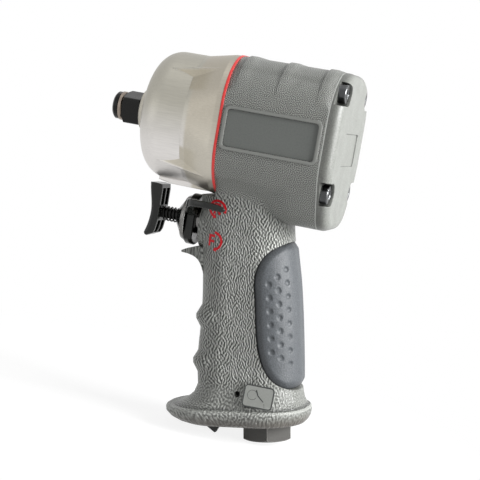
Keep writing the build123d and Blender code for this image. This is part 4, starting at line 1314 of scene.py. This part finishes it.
@dataclass
class CoilSpring(SubAssembly):
    """Spring of round wire on a straight axis."""

    name: str = "trigger_coil"
    node: str = "trigger_spring"
    finish: Finish = BLACK_WIRE
    joint: str = "trigger_slide"
    travel: float = 5.0
    start: np.ndarray = field(default_factory=lambda: np.array((18.55, 0.0, ROD_Z)))
    heading: np.ndarray = field(default_factory=lambda: np.array((1.0, 0.0, 0.0)))
    side: np.ndarray = field(default_factory=lambda: np.array((0.0, 1.0, 0.0)))
    radius: float = 3.2
    wire: float = 0.42
    pitch: float = 1.7
    coils: float = 6.0

    def ends(self) -> np.ndarray:
        """Middles of the first and the last turn's outer side, in metres."""
        reach = np.array([[-self.wire], [self.pitch * self.coils + self.wire]])
        return (self.start + reach * self.heading) * MM

    def winding(self, count: int = 400, around: int = 12) -> np.ndarray:
        """Grid of the wire, with a the angle along it and b the angle round it.

        A point is start + pitch a / 2 pi + wire sin b along the axis, and radius + wire cos b out.

        Args:
            count: points along the wire.
            around: points round it.

        Returns:
            Array of count and 2 more, around and 3, drawn in to a point at both ends.
        """
        a = held_ends(np.linspace(0.0, FULL_TURN * self.coils, count))[:, None]
        b = turns(around)[None, :]
        thick = np.full_like(a, self.wire)
        thick[[0, -1]] = 0.0
        out = np.cos(a)[..., None] * self.side + np.sin(a)[..., None] * np.cross(self.heading, self.side)
        along = self.pitch * a / FULL_TURN + thick * np.sin(b)
        off_axis = self.radius + thick * np.cos(b)
        return self.start + along[..., None] * self.heading + off_axis[..., None] * out

    def carry(self, piece: Piece) -> None:
        """Let the spring ride on the housing, with a mesh of its own.

        Args:
            piece: the spring's mesh.
        """
        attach(piece, self.body)
        first, last = self.ends()
        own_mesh(piece)

    def build(self) -> None:
        """Make the spring in place of its solid."""
        piece = grid_object(self.name, self.winding(), close_u=True)
        weld(piece)
        self.settle(piece, self.finish, "spring_steel", self.node)


@dataclass
class TippedSpring(CoilSpring):
    """Spring under the tip valve, on an axis that leans with the handle."""

    name: str = "valve_coil"
    node: str = "valve_spring"
    finish: Finish = SPRING_STEEL
    start: np.ndarray = field(default_factory=lambda: HandleForm.place(
        np.array(79.7), np.array(7.7), np.array(0.0)))
    heading: np.ndarray = field(default_factory=lambda: np.array((math.sin(RAKE), 0.0, -math.cos(RAKE))))
    radius: float = 2.9
    pitch: float = 2.6

    def carry(self, piece: Piece) -> None:
        """Bake the spring's place into its mesh."""
        first, last = self.ends()
        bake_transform(piece)


def round_rectangle(half: tuple[float, float], corner: float, count: int = 96) -> np.ndarray:
    """Outline of a rectangle with round corners, once round from the right.

    Each corner's middle is the nearest of the four points half - corner, and the outline
    is corner away from it at the same angle. The first point is a hair past the axis, so
    that no point lies between two corners.

    Args:
        half: half of the width and of the height.
        corner: radius of the corners.
        count: number of points.

    Returns:
        Array of count and 2, without the first point again.
    """
    angle = turns(count, 1e-6)
    return np.stack([np.sign(np.cos(angle)) * (half[0] - corner) + corner * np.cos(angle),
                     np.sign(np.sin(angle)) * (half[1] - corner) + corner * np.sin(angle)], axis=-1)


def rings_to(edge: np.ndarray, count: int) -> np.ndarray:
    """Rings that grow from the middle of a closed outline to its edge, as an array of count, points and 2."""
    return edge[None] * np.linspace(0.0, 1.0, count)[:, None, None]


@dataclass
class NamePlates(SubAssembly):
    """Bare smooth fields in the two sunk plates of the barrel."""

    middle: tuple[float, float] = (71.8, -0.7)
    half: tuple[float, float] = (20.9, 8.25)
    corner: float = 1.4
    depth: float = 32.2
    lift: float = 0.04
    rings: int = 4

    def build(self) -> None:
        """Make the fields as round rectangles, each point a share of the outline from the middle."""
        x, z = np.moveaxis(rings_to(round_rectangle(self.half, self.corner), self.rings), -1, 0)
        for name, side in (("plate_field_near", -1.0), ("plate_field_far", 1.0)):
            y = np.full_like(x, side * (self.depth + self.lift))
            points = np.stack([self.middle[0] + x, y, self.middle[1] - side * z], axis=-1)
            piece = grid_object(name, points[::-1], close_u=True)
            self.settle(piece, PLATE_FIELD, "housing_composite")


@dataclass
class OilPlate(SubAssembly):
    """Smooth patch beside the oiling hole, with a printed rim and the plain sign of an oil can."""

    middle: tuple[float, float, float] = (84.4, -19.2, -120.0)
    along: tuple[float, float, float] = (0.990, 0.140, 0.0)
    out: tuple[float, float, float] = (0.135, -0.962, 0.238)
    half: tuple[float, float] = (6.75, 4.95)
    corner: float = 1.5
    rim: float = 0.28
    spout_half: tuple[float, float] = (0.3, 0.22)
    body_half: float = 0.09
    drop_half: float = 0.2
    lift: float = 0.04
    rings: int = 9

    def on_patch(self, flat: np.ndarray) -> np.ndarray:
        """Points of the patch's own plane in the object's frame: middle + x along + y up.

        Args:
            flat: array that ends in x and y.

        Returns:
            Array that ends in X, Y and Z.
        """
        along = np.array(self.along) / np.linalg.norm(self.along)
        up = np.cross(self.out, along)
        up /= np.linalg.norm(up)
        return np.array(self.middle) + flat[..., :1] * along + flat[..., 1:] * up

    def prints(self, edge: np.ndarray) -> list[np.ndarray]:
        """Strokes of the rim and of the sign: a can's round body, its bent spout and two drops.

        Args:
            edge: outline of the patch.

        Returns:
            Grids of stroke points.
        """
        spout = line([(-1.4, 3.1), (-1.0, 2.2), (-0.3, 0.7), (1.1, -0.5), (2.7, -1.8)], 24)
        drops = [line([(3.2, -2.7), (3.2, -3.1)], 6), line([(3.4, -3.7), (3.4, -4.0)], 6)]
        body = arc((-2.9, 0.6), 2.2, 40.0, 330.0)
        closed = np.concatenate([edge, edge[:2]])
        narrowing = np.linspace(*self.spout_half, len(spout))
        return [ribbon(closed, self.rim), ribbon(spout, narrowing), ribbon(body, self.body_half),
                *(ribbon(drop, self.drop_half) for drop in drops)]

    def build(self) -> None:
        """Make the patch and its print, and draw them down onto the housing."""
        edge = round_rectangle(self.half, self.corner)
        patch = grid_object("oil_patch", self.on_patch(rings_to(edge, self.rings))[::-1], close_u=True)
        sign = join_grids("oil_sign", [self.on_patch(grid) for grid in self.prints(edge)])
        self.settle(patch, SMOOTH_NYLON, "housing_composite")
        self.settle(sign, DARK_INK, "seal_rubber")
        wrap_on(patch, "motor_housing", self.lift)
        wrap_on(sign, "motor_housing", 2 * self.lift)


@dataclass
class PhotoCamera:
    """Camera at the photograph's place, fitted to marks on the object; lengths in millimetres."""

    eye: tuple[float, float, float] = (211.057, -591.944, 11.766)
    right: tuple[float, float, float] = (0.94918382, 0.26390208, 0.17148113)
    up: tuple[float, float, float] = (-0.19272841, 0.0566463, 0.97961572)
    back: tuple[float, float, float] = (0.24880885, -0.96288467, 0.10462918)
    focal_px: float = 1300.65
    image_px: float = 480.0
    sensor: float = 36.0
    sight: tuple[float, float] = (10.0, 20000.0)

    def build(self) -> None:
        """Make the camera and give it to the scene."""
        data = bpy.data.cameras.new("photo_camera")
        data.sensor_width = self.sensor
        data.lens = self.focal_px / self.image_px * self.sensor
        data.clip_start, data.clip_end = self.sight[0] * MM, self.sight[1] * MM
        camera = bpy.data.objects.new("photo_camera", data)
        turn = Matrix([self.right, self.up, self.back]).transposed().to_4x4()
        camera.matrix_world = Matrix.Translation(Vector(self.eye) * MM) @ turn
        bpy.context.scene.collection.objects.link(camera)
        bpy.context.scene.camera = camera


@dataclass
class Studio:
    """White sweep, pale world and large soft boxes round the object.

    Each box has its name, its distances to the picture's right, towards the lens and up
    from the middle of the object, its side, and its power in watts.
    """

    camera: PhotoCamera = field(default_factory=PhotoCamera)
    middle: tuple[float, float, float] = (50.0, 0.0, -55.0)
    world_level: float = 0.22
    floor_half: float = 2500.0
    floor_tone: str = "#D0D0D0"
    shadow_tone: str = "#7F7F7F"
    shadow_glow: float = 0.86
    shadow_fade: tuple[float, float] = (70.0, 200.0)
    boxes: tuple[tuple[str, tuple[float, float, float], float, float], ...] = (
        ("box_right", (725.0, 340.0, 150.0), 440.0, 14.0),
        ("box_left", (-800.0, 420.0, 120.0), 700.0, 0.9),
        ("box_top", (120.0, 160.0, 820.0), 900.0, 1.6),
    )

    @staticmethod
    def white_to_lens(tree: Tree, seen: Node, lit: Node) -> Node:
        """Show one shader to the lens and to reflections, another to the light.

        Args:
            tree: node tree.
            seen: shader for camera, glossy and transmission rays.
            lit: shader for every other ray.

        Returns:
            The mixed shader.
        """
        ray = add(tree, "LightPath").outputs
        mirror = add(tree, "Math", {0: ray["Is Camera Ray"], 1: ray["Is Glossy Ray"]}, operation="MAXIMUM")
        any_view = add(tree, "Math", {0: mirror, 1: ray["Is Transmission Ray"]}, operation="MAXIMUM")
        return add(tree, "MixShader", {0: any_view, 1: lit, 2: seen})

    def build(self) -> None:
        """Make the world, the floor and the lamps."""
        scene = bpy.context.scene
        scene.view_settings.view_transform = "Standard"
        scene.world = bpy.data.worlds.new("pale_world")
        scene.world.use_nodes = True
        tree = scene.world.node_tree
        tree.nodes.clear()
        seen = add(tree, "Background", {"Color": WHITE, "Strength": 1.0})
        lit = add(tree, "Background", {"Color": WHITE, "Strength": self.world_level})
        add(tree, "OutputWorld", {"Surface": self.white_to_lens(tree, seen, lit)})
        low, half = CAD_BOX[0].z / MM, self.floor_half
        square = np.array([[(x, y, low) for x in (-half, half)] for y in (-half, half)])
        floor = grid_object("studio_floor", square)
        floor.data.materials.append(self.floor_material())
        for name, place, size, watts in self.boxes:
            self.soft_box(name, place, size, watts)

    def floor_material(self) -> bpy.types.Material:
        """White sweep that keeps a faint shadow under the object.

        Returns:
            The floor's material.
        """
        material = bpy.data.materials.new("white_sweep")
        material.use_nodes = True
        tree = material.node_tree
        tree.nodes.clear()
        matt = add(tree, "BsdfDiffuse", {"Color": linear(self.floor_tone)})
        faint = add(tree, "BsdfDiffuse", {"Color": linear(self.shadow_tone)})
        glow = add(tree, "Emission", {"Color": WHITE, "Strength": self.shadow_glow})
        near = add(tree, "AddShader", {0: faint, 1: glow})
        white = add(tree, "Emission", {"Color": WHITE, "Strength": 1.0})
        place = add(tree, "TexCoord").outputs["Object"]
        level = add(tree, "VectorMath", {0: place, 1: (1.0, 1.0, 0.0)}, operation="MULTIPLY")
        away = add(tree, "VectorMath", {0: level}, operation="LENGTH")
        far = zone(tree, (away, self.shadow_fade[0] * MM, self.shadow_fade[1] * MM))
        soft = add(tree, "MixShader", {0: far, 1: near, 2: white})
        add(tree, "OutputMaterial", {"Surface": self.white_to_lens(tree, soft, matt)})
        return material

    def soft_box(self, name: str, place: tuple[float, float, float], size: float, watts: float) -> None:
        """Add one square lamp, placed from the camera's own axes and turned to the object.

        Args:
            name: name of the lamp.
            place: distances to the picture's right, towards the lens and up, in millimetres.
            size: side of the lamp, in millimetres.
            watts: its power.
        """
        data = bpy.data.lights.new(name, "AREA")
        data.shape, data.size, data.energy = "SQUARE", size * MM, watts
        lamp = bpy.data.objects.new(name, data)
        lamp.visible_camera = False
        right, towards, up = place
        offset = Vector(self.camera.right) * right + Vector(self.camera.back) * towards + Vector((0, 0, up))
        lamp.location = (Vector(self.middle) + offset) * MM
        lamp.rotation_euler = offset.to_track_quat("Z", "Y").to_euler()
        bpy.context.scene.collection.objects.link(lamp)


def main() -> None:
    """Build the camera, the studio and every sub-assembly."""
    logging.basicConfig(level=logging.INFO, format="%(message)s")
    groups = [
        SubAssembly("housing", {"hammer_case": BRUSHED_CASTING, "anvil_bushing": SINTERED_BRONZE,
                                "front_gasket": RED_RING}),
        SubAssembly("anvil_set", {"anvil": BLACK_OXIDE, "socket_ring": SPRING_STEEL,
                                  "ring_cushion": SEAL_RUBBER}),
        SubAssembly("rotor_set", {"hammer_cage": GROUND_STEEL, "hammer_pins": GROUND_STEEL,
                                  "rotor": GROUND_STEEL, "rotor_vanes": VANE_RESIN}),
        SubAssembly("front_hammer", {"hammer_front": GROUND_STEEL}),
        SubAssembly("rear_hammer", {"hammer_rear": GROUND_STEEL}),
        SubAssembly("housing", {"front_plate": GROUND_STEEL, "front_bearing": GROUND_STEEL,
                                "motor_cylinder": GROUND_STEEL, "rear_plate": GROUND_STEEL,
                                "rear_bearing": GROUND_STEEL}),
        SubAssembly("housing", {"motor_housing": NYLON_HOUSING, "rear_gasket": GASKET_FIBRE,
                                "rear_cover": COVER_PAINT, "cover_screws": BLACK_ZINC}),
        NamePlates("housing"),
        OilPlate("housing"),
        Grip("housing"),
        DirectionMarks("housing"),
        SubAssembly("trigger_set", {"trigger": BLACK_NYLON, "trigger_rod": BLACK_OXIDE}),
        SubAssembly("reverse_set", {"valve_nose": BLACK_NYLON, "reverse_valve": DARK_CHROME}),
        ReverseLever("reverse_set"),
        SubAssembly("throttle", {"throttle_valve": BRONZE}),
        SubAssembly("housing", {"valve_sleeve": BRONZE, "valve_seat": SEAL_RUBBER,
                                "inlet_bushing": DARK_STEEL, "inlet_screen": BRONZE,
                                "exhaust_deflector": BLACK_NYLON}),
        CoilSpring("housing"),
        TippedSpring("throttle"),
    ]
    PhotoCamera().build()
    Studio().build()
    for group in groups:
        group.dress()
        group.build()


if __name__ == "__main__":
    main()
